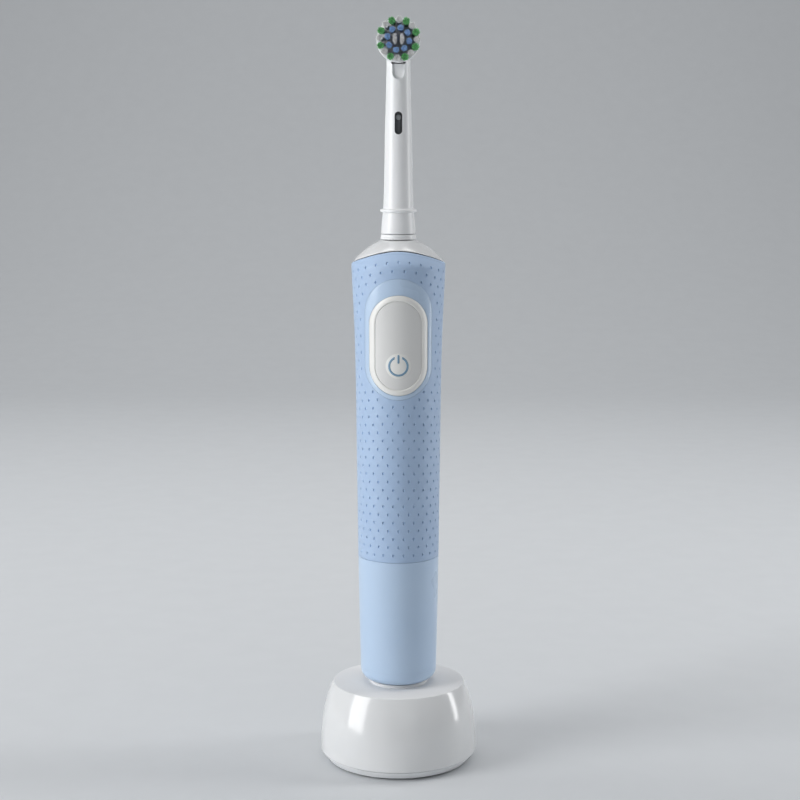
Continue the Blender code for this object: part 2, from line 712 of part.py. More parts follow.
def make_drive(materials, joints):
    foot = handle_foot
    cell_top = foot + cell_start + cell_length
    motor_low = cell_top + 8.6
    motor_high = motor_low + motor_length
    motor_y = gear_distance - gear_offset
    gear_low = motor_high + 4.6
    gear_high = gear_low + gear_thickness
    crank_top = gear_high + 2.0
    rocker_low = crank_top + gap
    rocker_high = rocker_low + 2.6
    lower_bearing = rocker_high + 1.0
    chassis_top = bearing_deck - 1.6
    handle = joints["handle"]

    chassis = add_object("chassis", rod(bore_radius - gap, foot + 20.0, chassis_top,
                                        middle_sides), materials["white"], handle)
    reach = bore_radius + 2
    front_cut = box((-reach, -reach, foot), (reach, -2.0, cell_top + 1.8))
    board_cut = box((-reach, -reach, cell_top + 0.5), (reach, -5.9, chassis_top + 2))
    cut(chassis, cutter("cell front", front_cut), cutter("board side", board_cut))

    def pocket(radius, centre_y, low, high):
        outline = [(-radius, -reach), (radius, -reach)]
        for angle in levels(0, math.pi, 10):
            outline.append((radius * math.cos(angle), centre_y + radius * math.sin(angle)))
        return prism(outline, low, high, upright)

    cut(chassis,
        cutter("cell pocket", pocket(cell_radius + gap, 0, foot + cell_start - 2.2,
                                     cell_top + 1.3)),
        cutter("motor pocket", pocket(motor_radius + gap, motor_y, motor_low - gap,
                                      motor_high + gap)),
        cutter("gear pocket", pocket(bore_radius - 2.6, 0, gear_low - 0.6,
                                     lower_bearing - gap)),
        cutter("motor shaft hole", rod(1.3, motor_high - 1, gear_low, tiny_sides,
                                       (0, motor_y))),
        cutter("gear axle hole", rod(0.9, gear_low - 3.2, gear_low, tiny_sides,
                                     (0, -gear_offset))),
        cutter("bearing hole", rod(bearing_radius + gap, lower_bearing - 1,
                                   chassis_top + 1)))

    tools = turned([(0, motor_low), (motor_radius, motor_low), (motor_radius, motor_high),
                    (1.0, motor_high), (1.0, motor_low + 3), (0, motor_low + 3)],
                   middle_sides, (0, motor_y))
    add_object("motor_can", tools, materials["steel"], handle)
    tools = rod(0.7, motor_low + 3.3, gear_high + 0.6, tiny_sides, (0, motor_y))
    add_object("motor_shaft", tools, materials["steel"], joints["motor"])
    outline = gear_outline(pinion_teeth, gear_module, (0, motor_y),
                           -math.pi / 2 + math.pi / pinion_teeth)
    pinion = add_object("motor_pinion", prism(outline, gear_low, gear_high, upright),
                        materials["bronze"], joints["motor"])
    cut(pinion, cutter("pinion bore", rod(0.9, gear_low - 1, gear_high + 1, tiny_sides,
                                          (0, motor_y))))
    axle_top = gear_high - 0.9
    tools = rod(0.7, gear_low - 3.0, axle_top, tiny_sides, (0, -gear_offset))
    add_object("gear_axle", tools, materials["steel"], handle)
    outline = gear_outline(gear_teeth, gear_module, (0, -gear_offset), math.pi / 2)
    gear = add_object("crank_gear", prism(outline, gear_low, gear_high, upright),
                      materials["acetal"], joints["gear"])
    eccentric = gear_offset * math.sin(math.radians(rock_angle))
    pin = rod(0.6, gear_high - 0.5, crank_top, tiny_sides, (eccentric, -gear_offset))
    join(gear, cutter("crank pin", pin))
    cut(gear, cutter("gear bore", rod(0.9, gear_low - 1, axle_top + thin_gap, tiny_sides,
                                      (0, -gear_offset))))

    shaft = joints["shaft"]
    shaft_top = dome_top + shaft_above_dome
    tools = turned([(0, rocker_low), (shaft_radius, rocker_low),
                    (shaft_radius, shaft_top - 0.5), (shaft_radius - 0.5, shaft_top),
                    (0, shaft_top)], small_sides)
    add_object("drive_shaft", tools, materials["steel"], shaft)
    arm_length = gear_offset + eccentric + 0.9
    outline = [(-1.6, 0), (-1.6, -arm_length), (1.6, -arm_length), (1.6, 0)]
    rocker = add_object("rocker_arm", rod(2.7, rocker_low, rocker_high),
                        materials["acetal"], shaft)
    join(rocker, cutter("fork block", prism(outline, rocker_low, rocker_high - 0.4,
                                            upright)))
    slot = box((-0.75, -arm_length - 1, rocker_low - 1), (0.75, -1.0, rocker_high + 1))
    cut(rocker, cutter("fork slot", slot),
        cutter("rocker bore", rod(shaft_radius + thin_gap, rocker_low - 1,
                                  rocker_high + 1)))
    bore = shaft_radius + 0.25
    add_object("shaft_bearing_lower",
               tube(bore, bearing_radius, lower_bearing, lower_bearing + bearing_height,
                    small_sides), materials["bronze"], handle)
    add_object("shaft_bearing_upper",
               tube(bore, bearing_radius, bearing_deck, housing_top - 0.1, small_sides),
               materials["bronze"], handle)
    return shaft_top


def make_shoulder_cap(materials, handle):
    boss_low = housing_top + 0.6
    boss = seal_radius + gap + 1.3
    stub_top = dome_top + stub_above_dome
    seal_top = dome_top - 4.6
    bore = shaft_radius + 0.5
    tools = bmesh.new()
    rings = [seam_ring(0.15, share, 0.0) for share in (0, 0.25, 0.5, 0.75)]
    rings += [oval(radius, radius, height, big_sides) for radius, height in (
        (collar_radius, dome_top), (stub_radius, dome_top),
        (stub_radius, stub_top - 0.4), (stub_radius - 0.4, stub_top),
        (bore, stub_top), (bore, seal_top), (seal_radius + gap, seal_top),
        (seal_radius + gap, boss_low), (boss, boss_low),
        (boss, dome_top - cap_thickness - 2.2))]
    rings += [seam_ring(0.15, share, cap_thickness, cap_thickness * share * 2)
              for share in (0.5, 0.25, 0)]
    add_rings(tools, rings)
    add_object("shoulder_cap", tools, materials["white gloss"], handle)
    tools = tube(shaft_radius + 0.25, seal_radius, boss_low + 0.2, seal_top - gap,
                 small_sides)
    add_object("shaft_seal", tools, materials["rubber"], handle)


# ---------------------------------------------------------------------- brush head
def make_neck(materials, head):
    foot = head_foot
    spigot = neck_foot_radius + 0.1
    ring_inner = spigot + thin_gap
    profile = [(ring_inner, foot), (collar_radius, foot),
               (ring_top_radius, foot + ring_height), (ring_inner, foot + ring_height)]
    add_object("id_ring", turned(profile, middle_sides), materials["white"], head)
    bore = neck_bore
    link_room = link_radius + 1.6
    narrow_bore = link_radius + 0.8
    narrow_start = foot + window_bottom + window_height + 2.4
    stub_room = foot + stub_above_dome + 1.0
    flange = foot + flange_height
    head_top = foot + head_length
    top = disc_height - cup_radius + cup_wall + 0.75
    tools = turned([
        (0, foot), (spigot, foot), (spigot, foot + ring_height + 0.2),
        (ring_top_radius, foot + ring_height + 0.2),
        (ring_top_radius - 0.13, foot + ring_height + 2.6),
        (neck_foot_radius + 0.46, flange - 0.5), (flange_radius, flange - 0.3),
        (flange_radius, flange + 0.4), (neck_foot_radius + 0.36, flange + 0.6),
        (neck_foot_radius, head_top - 45.8), (neck_foot_radius - 0.1, head_top - 35.8),
        (neck_foot_radius - 0.5, head_top - 23.8), (neck_top_radius, head_top - 14.8),
        (neck_top_radius, top), (0, top)], middle_sides)
    neck = add_object("head_neck", tools, materials["white gloss"], head)
    centre = (0, disc_height)
    cup = turned_forward([
        (0, cup_back), (cup_radius - 1.6, cup_back), (cup_radius - 0.4, cup_back - 1.2),
        (cup_radius, cup_back - 2.6), (cup_radius, cup_front),
        (cup_radius - cup_wall, cup_front), (cup_radius - cup_wall, cup_back - cup_wall - 2.0),
        (cup_radius - cup_wall - 1.2, cup_back - cup_wall - 0.6),
        (0, cup_back - cup_wall - 0.6)], middle_sides, centre)
    join(neck, cutter("cup", cup))
    passage = turned([(0, foot - 1), (bore, foot - 1), (bore, stub_room),
                      (link_room, stub_room), (link_room, narrow_start),
                      (narrow_bore, narrow_start), (narrow_bore, disc_height - 3.6),
                      (0, disc_height - 3.6)], middle_sides)
    slot_low = disc_height - hub_radius - arm_drop - gap
    slot = box((-slot_width / 2, -9, slot_low), (slot_width / 2, -0.6, disc_height - 3.0))
    recess = prism(stadium(recess_width, foot + recess_bottom, 9.0, 6),
                   -9, -recess_floor, facing)
    window = prism(stadium(window_width, foot + window_bottom, window_height, 6),
                   -9, -1.0, facing)
    hole = forward_rod(axle_radius + thin_gap, cup_back - cup_wall - 3,
                       cup_back - 0.45, tiny_sides, centre)
    cut(neck, cutter("link passage", passage), cutter("front recess", recess),
        cutter("front slot", slot), cutter("link window", window),
        cutter("axle hole", hole))
    add_object("carrier_axle", forward_rod(axle_radius, cup_back - 0.65, -3.9, tiny_sides,
                                           centre), materials["steel"], head)


def make_link(materials, link, shaft_top):
    foot = head_foot
    socket_low = foot + stub_above_dome + 0.6
    socket_high = shaft_top + 0.6
    socket_outer = link_radius + 1.3
    socket_inner = socket_outer - 0.5
    arm_low = disc_height - hub_radius - arm_drop
    arm_high = arm_low + arm_height
    window_low = foot + window_bottom
    body = turned([
        (socket_inner, socket_low), (socket_outer, socket_low),
        (socket_outer, socket_high + 1.0), (link_radius, socket_high + 2.4),
        (link_radius, window_low - 1.6), (link_radius + 0.6, window_low - 0.8),
        (link_radius + 0.6, window_low + window_height + 0.8),
        (link_radius, window_low + window_height + 1.6), (link_radius, arm_high),
        (0, arm_high), (0, socket_high), (socket_inner, socket_high)], small_sides)
    body = add_object("drive_link", body, materials["dark"], link)
    arm = box((-0.6, -link_crank - 0.55, arm_low), (0.6, 0.4, arm_high - 0.1))
    pin = rod(link_pin_radius, arm_high - 0.8, disc_height - link_crank + 0.6, tiny_sides,
              (0, -link_crank))
    eye_height = window_low + window_height - 1.4
    eye = forward_rod(0.85, -0.6, -4, tiny_sides, (0, eye_height))
    join(body, cutter("link arm", arm), cutter("link crank pin", pin))
    cut(body, cutter("pivot pin hole", eye))
    add_object("link_pivot_pin", forward_rod(0.65, -0.8, -link_radius - 1.2, tiny_sides,
                                             (0, eye_height)), materials["acetal"], link)
    add_object("shaft_clip", tube(shaft_radius + thin_gap, socket_inner - 0.15,
                                  socket_low + 1.4, socket_high - 1.2, small_sides),
               materials["steel"], link)


def disc_point(radius, clockwise):
    """Place on the disc, from an angle clockwise from the top as seen from the front."""
    turn = math.radians(clockwise)
    return radius * math.sin(turn), disc_height + radius * math.cos(turn)


def make_tufts(name, web_outline, web_back, tufts, material, parent):
    """Tufts of one colour, fused at their roots to a thin web behind the disc."""
    web_front = web_back - 0.3
    node = add_object(name, prism(web_outline, web_back, web_front, facing), material, parent)
    tools = bmesh.new()
    for (x, z), (tip_x, tip_z), width, height, tip_scale, turn in tufts:
        rings = []
        for depth, scale, cx, cz in ((web_back - 0.15, 1.0, x, z),
                                     (plate_front, 1.0, x, z),
                                     (plate_front - bristle_length, tip_scale, tip_x, tip_z)):
            ring = []
            for index in range(6):
                angle = 2 * math.pi * (index + 0.5) / 6
                u = width * scale * math.cos(angle)
                v = height * scale * math.sin(angle)
                ring.append((cx + u * math.cos(turn) + v * math.sin(turn), depth,
                             cz - u * math.sin(turn) + v * math.cos(turn)))
            rings.append(ring)
        centre_back = [(x, web_back - 0.15, z)]
        centre_front = [(tip_x, plate_front - bristle_length, tip_z)]
        add_rings(tools, [centre_back] + rings + [centre_front])
    join(node, cutter(f"{name} bundle", tools))
    return node


def round_tufts(start, root_circle, tip_circle, tip_turn, tip_scale):
    for number in range(outer_tufts):
        angle = start + 360 * number / outer_tufts
        yield (disc_point(root_circle, angle), disc_point(tip_circle, angle + tip_turn),
               tuft_root_radius, tuft_root_radius, tip_scale, 0.0)


def ring_outline(radius_at, steps=32):
    """Closed outline round the disc's centre from a radius for each clockwise angle."""
    return [disc_point(radius_at(360 * index / steps), 360 * index / steps)
            for index in range(steps)]


def make_carrier(materials, carrier):
    centre = (0, disc_height)
    hub_back = cup_front + 2.1
    hub_front = cup_front - 0.3
    flange_front = hub_front - 0.6
    plate_back = plate_front + 1.0
    tools = turned_forward([
        (axle_radius + 0.3, hub_back), (hub_radius, hub_back), (hub_radius, hub_front),
        (disc_radius - 0.4, hub_front), (disc_radius - 0.4, flange_front),
        (0, flange_front), (0, flange_front + 0.2), (axle_radius + 0.3, flange_front + 0.2)],
        middle_sides, centre)
    hub = add_object("carrier_hub", tools, materials["white"], carrier)
    notch = box((-1.15, hub_front, disc_height - hub_radius - 1),
                (1.15, hub_back + 1, disc_height - link_crank + 1.3))
    cut(hub, cutter("hub notch", notch))

    skirt = disc_radius - 0.45
    plate = add_object("carrier_plate", turned_forward([
        (0, plate_front), (disc_radius - 0.3, plate_front),
        (disc_radius, plate_front + 0.3), (disc_radius, flange_front - 0.3),
        (skirt, flange_front - 0.3), (skirt, plate_back), (0, plate_back)],
        big_sides, centre), materials["white"], carrier)
    hole = tuft_root_radius + 0.15
    places = [(outer_tuft_circle, green_start), (outer_tuft_circle, white_start),
              (inner_tuft_circle, blue_start)]
    for circle, start in places:
        for number in range(outer_tufts):
            spot = disc_point(circle, start + 360 * number / outer_tufts)
            tools = forward_rod(hole, plate_back + 1, plate_front - 1, 8, spot)
            cut(plate, cutter(f"tuft hole {circle} {start} {number}", tools))
    for side in (-1, 1):
        outline = []
        for index in range(8):
            angle = 2 * math.pi * (index + 0.5) / 8
            outline.append((side * 0.95 + 0.7 * math.cos(angle),
                            disc_height + 1.45 * math.sin(angle)))
        cut(plate, cutter(f"centre hole {side}",
                          prism(outline, plate_back + 1, plate_front - 1, facing)))

    layer = flange_front - 0.3
    web = outer_tuft_circle + 0.5
    inner_web = inner_tuft_circle + 0.55

    def make_ring(name, inner, radius_at, web_back, tufts, material):
        node = make_tufts(name, ring_outline(radius_at), web_back, tufts, material, carrier)
        cut(node, cutter(f"{name} middle", forward_rod(inner, web_back + 1, web_back - 1,
                                                      middle_sides, centre)))

    make_ring("green_tufts", outer_tuft_circle - 0.6, lambda angle: web, layer,
              round_tufts(green_start, outer_tuft_circle, outer_tuft_circle + 0.55, -4, 1.35),
              materials["green bristle"])

    def star(angle):
        step = 360 / outer_tufts
        off_tuft = abs((angle - white_start + step / 2) % step - step / 2)
        return web if off_tuft < 6 else inner_web + 0.75

    second_layer = layer - 0.55
    make_ring("white_tufts", inner_web + 0.2, star, second_layer,
              round_tufts(white_start, outer_tuft_circle, outer_tuft_circle + 0.55, 0, 1.3),
              materials["white bristle"])
    make_ring("blue_tufts", inner_tuft_circle - 0.6, lambda angle: inner_web,
              second_layer,
              round_tufts(blue_start, inner_tuft_circle, inner_tuft_circle + 0.1, 0, 1.25),
              materials["blue bristle"])
    centre_pair = [((side * 0.95, disc_height), (side * 1.05, disc_height), 0.55, 1.3, 1.15, 0.0)
                   for side in (-1, 1)]
    outline = ring_outline(lambda angle: inner_tuft_circle - 0.9, small_sides)
    make_tufts("centre_tufts", outline, second_layer, centre_pair,
               materials["white bristle"], carrier)


def main():
    clear_scene()
    materials = make_materials()
    make_charger_shell(materials)
    make_base_plate(materials)
    make_charger_electrics(materials)

    motor_y = gear_distance - gear_offset
    handle = make_empty("handle lift", (0, 0, handle_foot))
    joints = {
        "handle": handle,
        "button": make_empty("button press", (0, 0, handle_foot + symbol_height), handle),
        "plunger": make_empty("switch press", (0, 0, handle_foot + symbol_height), handle),
        "motor": make_empty("motor spin", (0, motor_y, handle_foot + 100), handle),
        "gear": make_empty("gear spin", (0, -gear_offset, handle_foot + 110), handle),
        "shaft": make_empty("shaft rock", (0, 0, handle_foot + 120), handle),
        "head": make_empty("head pull", (0, 0, head_foot)),
    }
    joints["link"] = make_empty("link rock", (0, 0, head_foot + 12), joints["head"])
    joints["carrier"] = make_empty("carrier rock", (0, 0, disc_height), joints["head"])
    make_handle_shells(materials, handle)
    make_button_parts(materials, handle, joints["button"])
    make_cell_and_board(materials, handle, joints["plunger"])
    shaft_top = make_drive(materials, joints)
    make_shoulder_cap(materials, handle)
    make_neck(materials, joints["head"])
    make_link(materials, joints["link"], shaft_top)
    make_carrier(materials, joints["carrier"])


main()
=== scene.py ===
# %% [markdown]
# # An electric toothbrush on its charger
# The toothbrush has three main assemblies: a low round charger with a peg, a handle that
# stands on the peg, and a brush head that is pushed onto the handle's shaft. The engineering model
# already holds every part at its real size. This lesson loads it as a fixed frame and then
# gives each visible part the shape and the finish that the moulded part has.

# %% Load the frame
import math
import random

import bmesh
import bpy
from mathutils import Matrix, Vector


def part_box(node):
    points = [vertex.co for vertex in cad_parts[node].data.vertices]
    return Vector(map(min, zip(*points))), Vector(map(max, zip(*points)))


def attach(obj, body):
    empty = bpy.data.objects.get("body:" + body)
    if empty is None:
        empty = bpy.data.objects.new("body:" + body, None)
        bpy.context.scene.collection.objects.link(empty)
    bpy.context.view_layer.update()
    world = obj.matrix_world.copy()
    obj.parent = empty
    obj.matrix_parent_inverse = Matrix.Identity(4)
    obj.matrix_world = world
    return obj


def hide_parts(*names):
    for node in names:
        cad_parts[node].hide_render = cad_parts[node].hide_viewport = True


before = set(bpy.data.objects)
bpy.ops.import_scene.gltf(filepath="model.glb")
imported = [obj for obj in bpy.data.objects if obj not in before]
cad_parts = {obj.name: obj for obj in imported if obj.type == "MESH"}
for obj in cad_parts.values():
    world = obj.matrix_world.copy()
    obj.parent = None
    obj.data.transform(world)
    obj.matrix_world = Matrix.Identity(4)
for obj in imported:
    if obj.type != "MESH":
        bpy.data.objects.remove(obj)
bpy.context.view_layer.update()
mm = 0.001

# %% [markdown]
# The heights at which the handle, the sleeve, the head and the disc begin come from the boxes of
# the engineering parts, so that they need not be fitted by eye. `foot` reads the height at which a
# part begins.

# %% Measures
def foot(node):
    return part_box(node)[0].z


handle_foot = foot("bottom_cap")
sleeve_foot = foot("grip_sleeve")
head_foot = foot("head_neck")
head_gap, dome_height = 0.3 * mm, 8.2 * mm
dome_top = head_foot - head_gap
dome_foot = dome_top - dome_height
disc_low, disc_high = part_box("carrier_plate")
disc_centre = Vector((0, 0, (disc_low.z + disc_high.z) / 2))
print("handle from", round(handle_foot / mm, 1), "to", round(dome_top / mm, 1))
print("disc centre at", round(disc_centre.z / mm, 1))

# %% [markdown]
# The camera stands half a metre in front of the brush, a little under the height of the
# brush head, and looks slightly down. A long lens keeps the handle's sides nearly parallel,
# and the charger, far below the lens, still shows its flat top.

# %% Camera
camera_data = bpy.data.cameras.new("camera")
camera_data.lens = 74.25
camera_data.sensor_width = 36.0
camera = bpy.data.objects.new("camera", camera_data)
bpy.context.collection.objects.link(camera)
camera.location = (0.5 * mm, -523.5 * mm, 198.4 * mm)
camera.rotation_euler = (math.radians(81.384), 0, 0)
bpy.context.scene.camera = camera

# %% [markdown]
# A studio table is a wide plane that bends up behind the object. The bend is a spin of the
# plane's back edge, which leaves no line between floor and wall.

# %% Floor with a curved wall
def start_clean():
    if bpy.context.object and bpy.context.object.mode != "OBJECT":
        bpy.ops.object.mode_set(mode="OBJECT")
    bpy.ops.object.select_all(action="DESELECT")
    bpy.context.tool_settings.mesh_select_mode = (True, False, False)


def pick(obj, mode, test):
    """Selects the vertices, edges or faces of obj for which test is true, in edit mode."""
    bpy.ops.object.mode_set(mode="EDIT")
    bpy.context.tool_settings.mesh_select_mode = (
        mode == "vertices", mode == "edges", mode == "faces")
    mesh = bmesh.from_edit_mesh(obj.data)
    for group in (mesh.verts, mesh.edges, mesh.faces):
        for part in group:
            part.select_set(False)
    for part in {"vertices": mesh.verts, "edges": mesh.edges, "faces": mesh.faces}[mode]:
        if test(part):
            part.select_set(True)
    mesh.select_flush_mode()
    bmesh.update_edit_mesh(obj.data)


def edge_middle(edge):
    return (edge.verts[0].co + edge.verts[1].co) / 2


start_clean()
bpy.ops.mesh.primitive_plane_add(size=4.0, location=(0, -1.2, 0))
floor = bpy.context.object
floor.name = "studio_floor"
bpy.ops.object.transform_apply(location=True)
pick(floor, "edges", lambda edge: edge_middle(edge).y > 0.79)
bpy.ops.mesh.extrude_edges_move(TRANSFORM_OT_translate={"value": (0, 0.02, 0)})
bpy.ops.mesh.spin(steps=48, angle=math.radians(-90), center=(0, 0.82, 0.9), axis=(1, 0, 0))
pick(floor, "edges", lambda edge: edge_middle(edge).z > 0.89 and len(edge.link_faces) == 1
     and abs(edge.verts[0].co.z - edge.verts[1].co.z) < 1e-4)
bpy.ops.mesh.extrude_edges_move(TRANSFORM_OT_translate={"value": (0, 0, 1.2)})
bpy.ops.object.mode_set(mode="OBJECT")
bpy.ops.object.shade_smooth()
print("floor faces:", len(floor.data.polygons))

# %% [markdown]
# Soft studio light is a large lamp close to the object. The key light stands on the left and
# makes the long white highlight on the handle, a narrow strip on the right draws its far
# edge, and a lamp overhead lights the charger's flat top. A weak lamp in front fills the
# shadows, and one more shines on the curved wall behind.

# %% Lights
def add_softbox(name, place, target, width, height, watts, colour=(1, 1, 1)):
    data = bpy.data.lights.new(name, "AREA")
    data.shape = "RECTANGLE"
    data.size = width
    data.size_y = height
    data.energy = watts
    data.color = colour
    light = bpy.data.objects.new(name, data)
    bpy.context.collection.objects.link(light)
    light.location = place
    aim = Vector(target) - Vector(place)
    light.rotation_euler = aim.to_track_quat("-Z", "Y").to_euler()
    return light


add_softbox("key", (-0.75, -0.35, 0.34), (0, 0, 0.13), 0.42, 0.9, 6.6)
add_softbox("rim", (0.62, 0.06, 0.26), (0, 0, 0.13), 0.10, 0.7, 1.6)
add_softbox("front fill", (0.25, -1.1, 0.45), (0, 0, 0.12), 0.5, 0.5, 0.35)
add_softbox("overhead", (0, -0.05, 0.95), (0, 0, 0.0), 0.7, 0.7, 1.6)
add_softbox("backdrop", (0, 0.25, 0.90), (0, 1.3, 0.15), 1.8, 0.5, 8.0)

world = bpy.data.worlds.new("studio")
bpy.context.scene.world = world
world.use_nodes = True
world.node_tree.nodes["Background"].inputs["Color"].default_value = (0.95, 0.97, 1.0, 1)
world.node_tree.nodes["Background"].inputs["Strength"].default_value = 0.13
bpy.context.scene.view_settings.view_transform = "Standard"

# %% [markdown]
# ## Materials
# A colour picked on a screen is an sRGB value, and a shader wants light values, so one
# function turns the hex code linear. Another adds a node with its settings and its links.

# %% Material helpers
def linear(code):
    """Linear RGBA from an sRGB hex code."""
    parts = [int(code[i:i + 2], 16) / 255 for i in (1, 3, 5)]
    return (*[c / 12.92 if c <= 0.04045 else ((c + 0.055) / 1.055) ** 2.4 for c in parts], 1)


def add_node(tree, kind, links=(), values=(), **settings):
    """Adds a node: settings are its properties, values its sockets, links what feeds them."""
    node = tree.nodes.new(kind)
    for name, value in settings.items():
        setattr(node, name, value)
    for name, value in dict(values).items():
        node.inputs[name].default_value = value
    for name, source in dict(links).items():
        tree.links.new(source, node.inputs[name])
    return node


def new_material(name, roughness, ior=1.5, metallic=0.0, coat=0.0, sheen=0.0, glow=0.0):
    """A material with its shader's constant values set, its tree and its shader."""
    material = bpy.data.materials.new(name)
    material.use_nodes = True
    tree = material.node_tree
    shader = tree.nodes["Principled BSDF"]
    shader.inputs["Roughness"].default_value = roughness
    shader.inputs["IOR"].default_value = ior
    shader.inputs["Metallic"].default_value = metallic
    shader.inputs["Coat Weight"].default_value = coat
    shader.inputs["Coat Roughness"].default_value = 0.08
    shader.inputs["Sheen Weight"].default_value = sheen
    shader.inputs["Sheen Roughness"].default_value = 0.5
    shader.inputs["Subsurface Weight"].default_value = glow
    shader.inputs["Subsurface Radius"].default_value = (1.0, 0.9, 0.8)
    shader.inputs["Subsurface Scale"].default_value = 0.8 * mm
    return material, tree, shader


def grain_bump(tree, shader, size_mm, height_mm, detail=3.0, stretch=(1, 1, 1)):
    """Fine relief of a real grain size and height, and the noise that makes it."""
    place = add_node(tree, "ShaderNodeTexCoord")
    turn = add_node(tree, "ShaderNodeMapping", {"Vector": place.outputs["Object"]},
                    {"Scale": stretch})
    noise = add_node(tree, "ShaderNodeTexNoise", {"Vector": turn.outputs["Vector"]},
                     {"Scale": 1 / (size_mm * mm), "Detail": detail, "Roughness": 0.55})
    bump = add_node(tree, "ShaderNodeBump", {"Height": noise.outputs["Fac"]},
                    {"Strength": 1.0, "Distance": height_mm * mm})
    tree.links.new(bump.outputs["Normal"], shader.inputs["Normal"])
    return turn, noise


def moulded(name, light, dark, roughness, ior, grain_mm, height_mm, **finish):
    """Moulded plastic: a cloudy tone, a moulded grain and a roughness that varies a little."""
    material, tree, shader = new_material(name, roughness, ior, **finish)
    turn, noise = grain_bump(tree, shader, grain_mm, height_mm)
    cloud = add_node(tree, "ShaderNodeTexNoise", {"Vector": turn.outputs["Vector"]},
                     {"Scale": 1 / (14 * mm), "Detail": 2.0})
    tone = add_node(tree, "ShaderNodeMix", {"Factor": cloud.outputs["Fac"]},
                    data_type="RGBA")
    tone.inputs[6].default_value = linear(light)
    tone.inputs[7].default_value = linear(dark)
    tree.links.new(tone.outputs[2], shader.inputs["Base Color"])
    spread = add_node(tree, "ShaderNodeMapRange", {"Value": cloud.outputs["Fac"]},
                      {"To Min": roughness * 0.9, "To Max": roughness * 1.12})
    tree.links.new(spread.outputs["Result"], shader.inputs["Roughness"])
    return material


# %% [markdown]
# The table is matt painted board in a pale grey, a little darker than the white plastic, so
# that the white parts keep their outline.

# %% Table
table_paint = moulded("painted_board_matt_pale_grey", "#D4D7DA", "#D0D3D6", 0.75, 1.45,
                      3.0, 0.004)
floor.data.materials.append(table_paint)

# %% [markdown]
# Each finish is named for its plastic and for how its mould was made. A polished mould gives
# glossy ABS. A mould etched with a fine grain gives the satin of the brush head and of the
# button. The grip is a soft thermoplastic rubber, which scatters light and has a faint sheen.

# %% Plastics
white_gloss = moulded("abs_polished_mould_white", "#E9EAEB", "#E3E5E6", 0.16, 1.53,
                      1.6, 0.0012, coat=0.25, glow=0.04)
white_satin = moulded("abs_fine_etched_mould_white", "#F7F8F9", "#F0F2F4", 0.30, 1.53,
                      0.22, 0.0012, glow=0.05)
white_matt = moulded("abs_spark_eroded_mould_white", "#DADBDC", "#D3D4D6", 0.58, 1.53,
                     0.16, 0.006)
grip_blue = moulded("tpe_overmoulded_blue", "#B2CAE8", "#A9C2E2", 0.50, 1.50,
                    0.12, 0.004, sheen=0.25, glow=0.05)
body_blue = moulded("pp_polished_mould_light_blue", "#C3D8F0", "#BBD2EC", 0.28, 1.49,
                    0.9, 0.0010, glow=0.06)
button_white = moulded("abs_etched_mould_off_white", "#F4F4F1", "#EEEEEB", 0.34, 1.53,
                       0.18, 0.0015, glow=0.04)
pad_grey = moulded("tpe_overmoulded_pale_grey", "#E6E6E5", "#DFE0DF", 0.46, 1.50,
                   0.14, 0.003, sheen=0.10)
pom_dark = moulded("pom_moulded_dark_grey", "#717476", "#66696B", 0.38, 1.48, 0.3, 0.002)
pom_natural = moulded("pom_moulded_natural", "#E6E4DC", "#DDDAD0", 0.36, 1.48, 0.3, 0.0015)
pin_grey = moulded("pom_moulded_light_grey", "#A9ADAF", "#9DA1A3", 0.34, 1.48, 0.3, 0.0015)
foot_rubber = moulded("tpe_moulded_foot_grey", "#8D9092", "#7E8183", 0.70, 1.50, 0.3, 0.008)
print("plastics:", len(bpy.data.materials))

# %% [markdown]
# ## Shaping helpers
# A round part is a profile that is spun about its axis, as on a lathe. The profile is drawn
# as a modeller does it: one vertex, extruded from point to point. A corner of the profile
# carries its own radius, and a short curve takes its place.

# %% Profile and lathe
def rounded(corners, steps=5):
    """Points of a path whose last number in each corner is that corner's radius."""
    points = []
    for index, corner in enumerate(corners):
        here, radius = Vector(corner[:-1]), corner[-1]
        if radius == 0 or index in (0, len(corners) - 1):
            points.append(here)
            continue
        before = Vector(corners[index - 1][:-1]) - here
        after = Vector(corners[index + 1][:-1]) - here
        start = here + before.normalized() * min(radius, before.length / 2)
        end = here + after.normalized() * min(radius, after.length / 2)
        for step in range(steps + 1):
            t = step / steps
            points.append(start * (1 - t) ** 2 + here * 2 * t * (1 - t) + end * t * t)
    return points


def finish_mesh(obj, name, material, angle=35):
    """Closes the seams, points the faces outwards, shades the piece and gives its finish."""
    bpy.ops.object.mode_set(mode="EDIT")
    bpy.ops.mesh.select_all(action="SELECT")
    bpy.ops.mesh.remove_doubles(threshold=0.0005 * mm)
    bpy.ops.mesh.normals_make_consistent(inside=False)
    bpy.ops.object.mode_set(mode="OBJECT")
    bpy.ops.object.transform_apply(location=True, rotation=True, scale=True)
    bpy.ops.object.shade_smooth_by_angle(angle=math.radians(angle))
    obj.name = name
    obj.data.materials.clear()
    obj.data.materials.append(material)
    return obj


def draw_path(points):
    """A chain of edges: one vertex, extruded to each point in turn."""
    start_clean()
    bpy.ops.mesh.primitive_plane_add(size=mm, location=(0, 0, 0))
    obj = bpy.context.object
    bpy.ops.object.mode_set(mode="EDIT")
    bpy.ops.mesh.merge(type="CENTER")
    bpy.ops.transform.translate(value=points[0])
    for before, after in zip(points, points[1:]):
        bpy.ops.mesh.extrude_region_move(TRANSFORM_OT_translate={"value": after - before})
    return obj


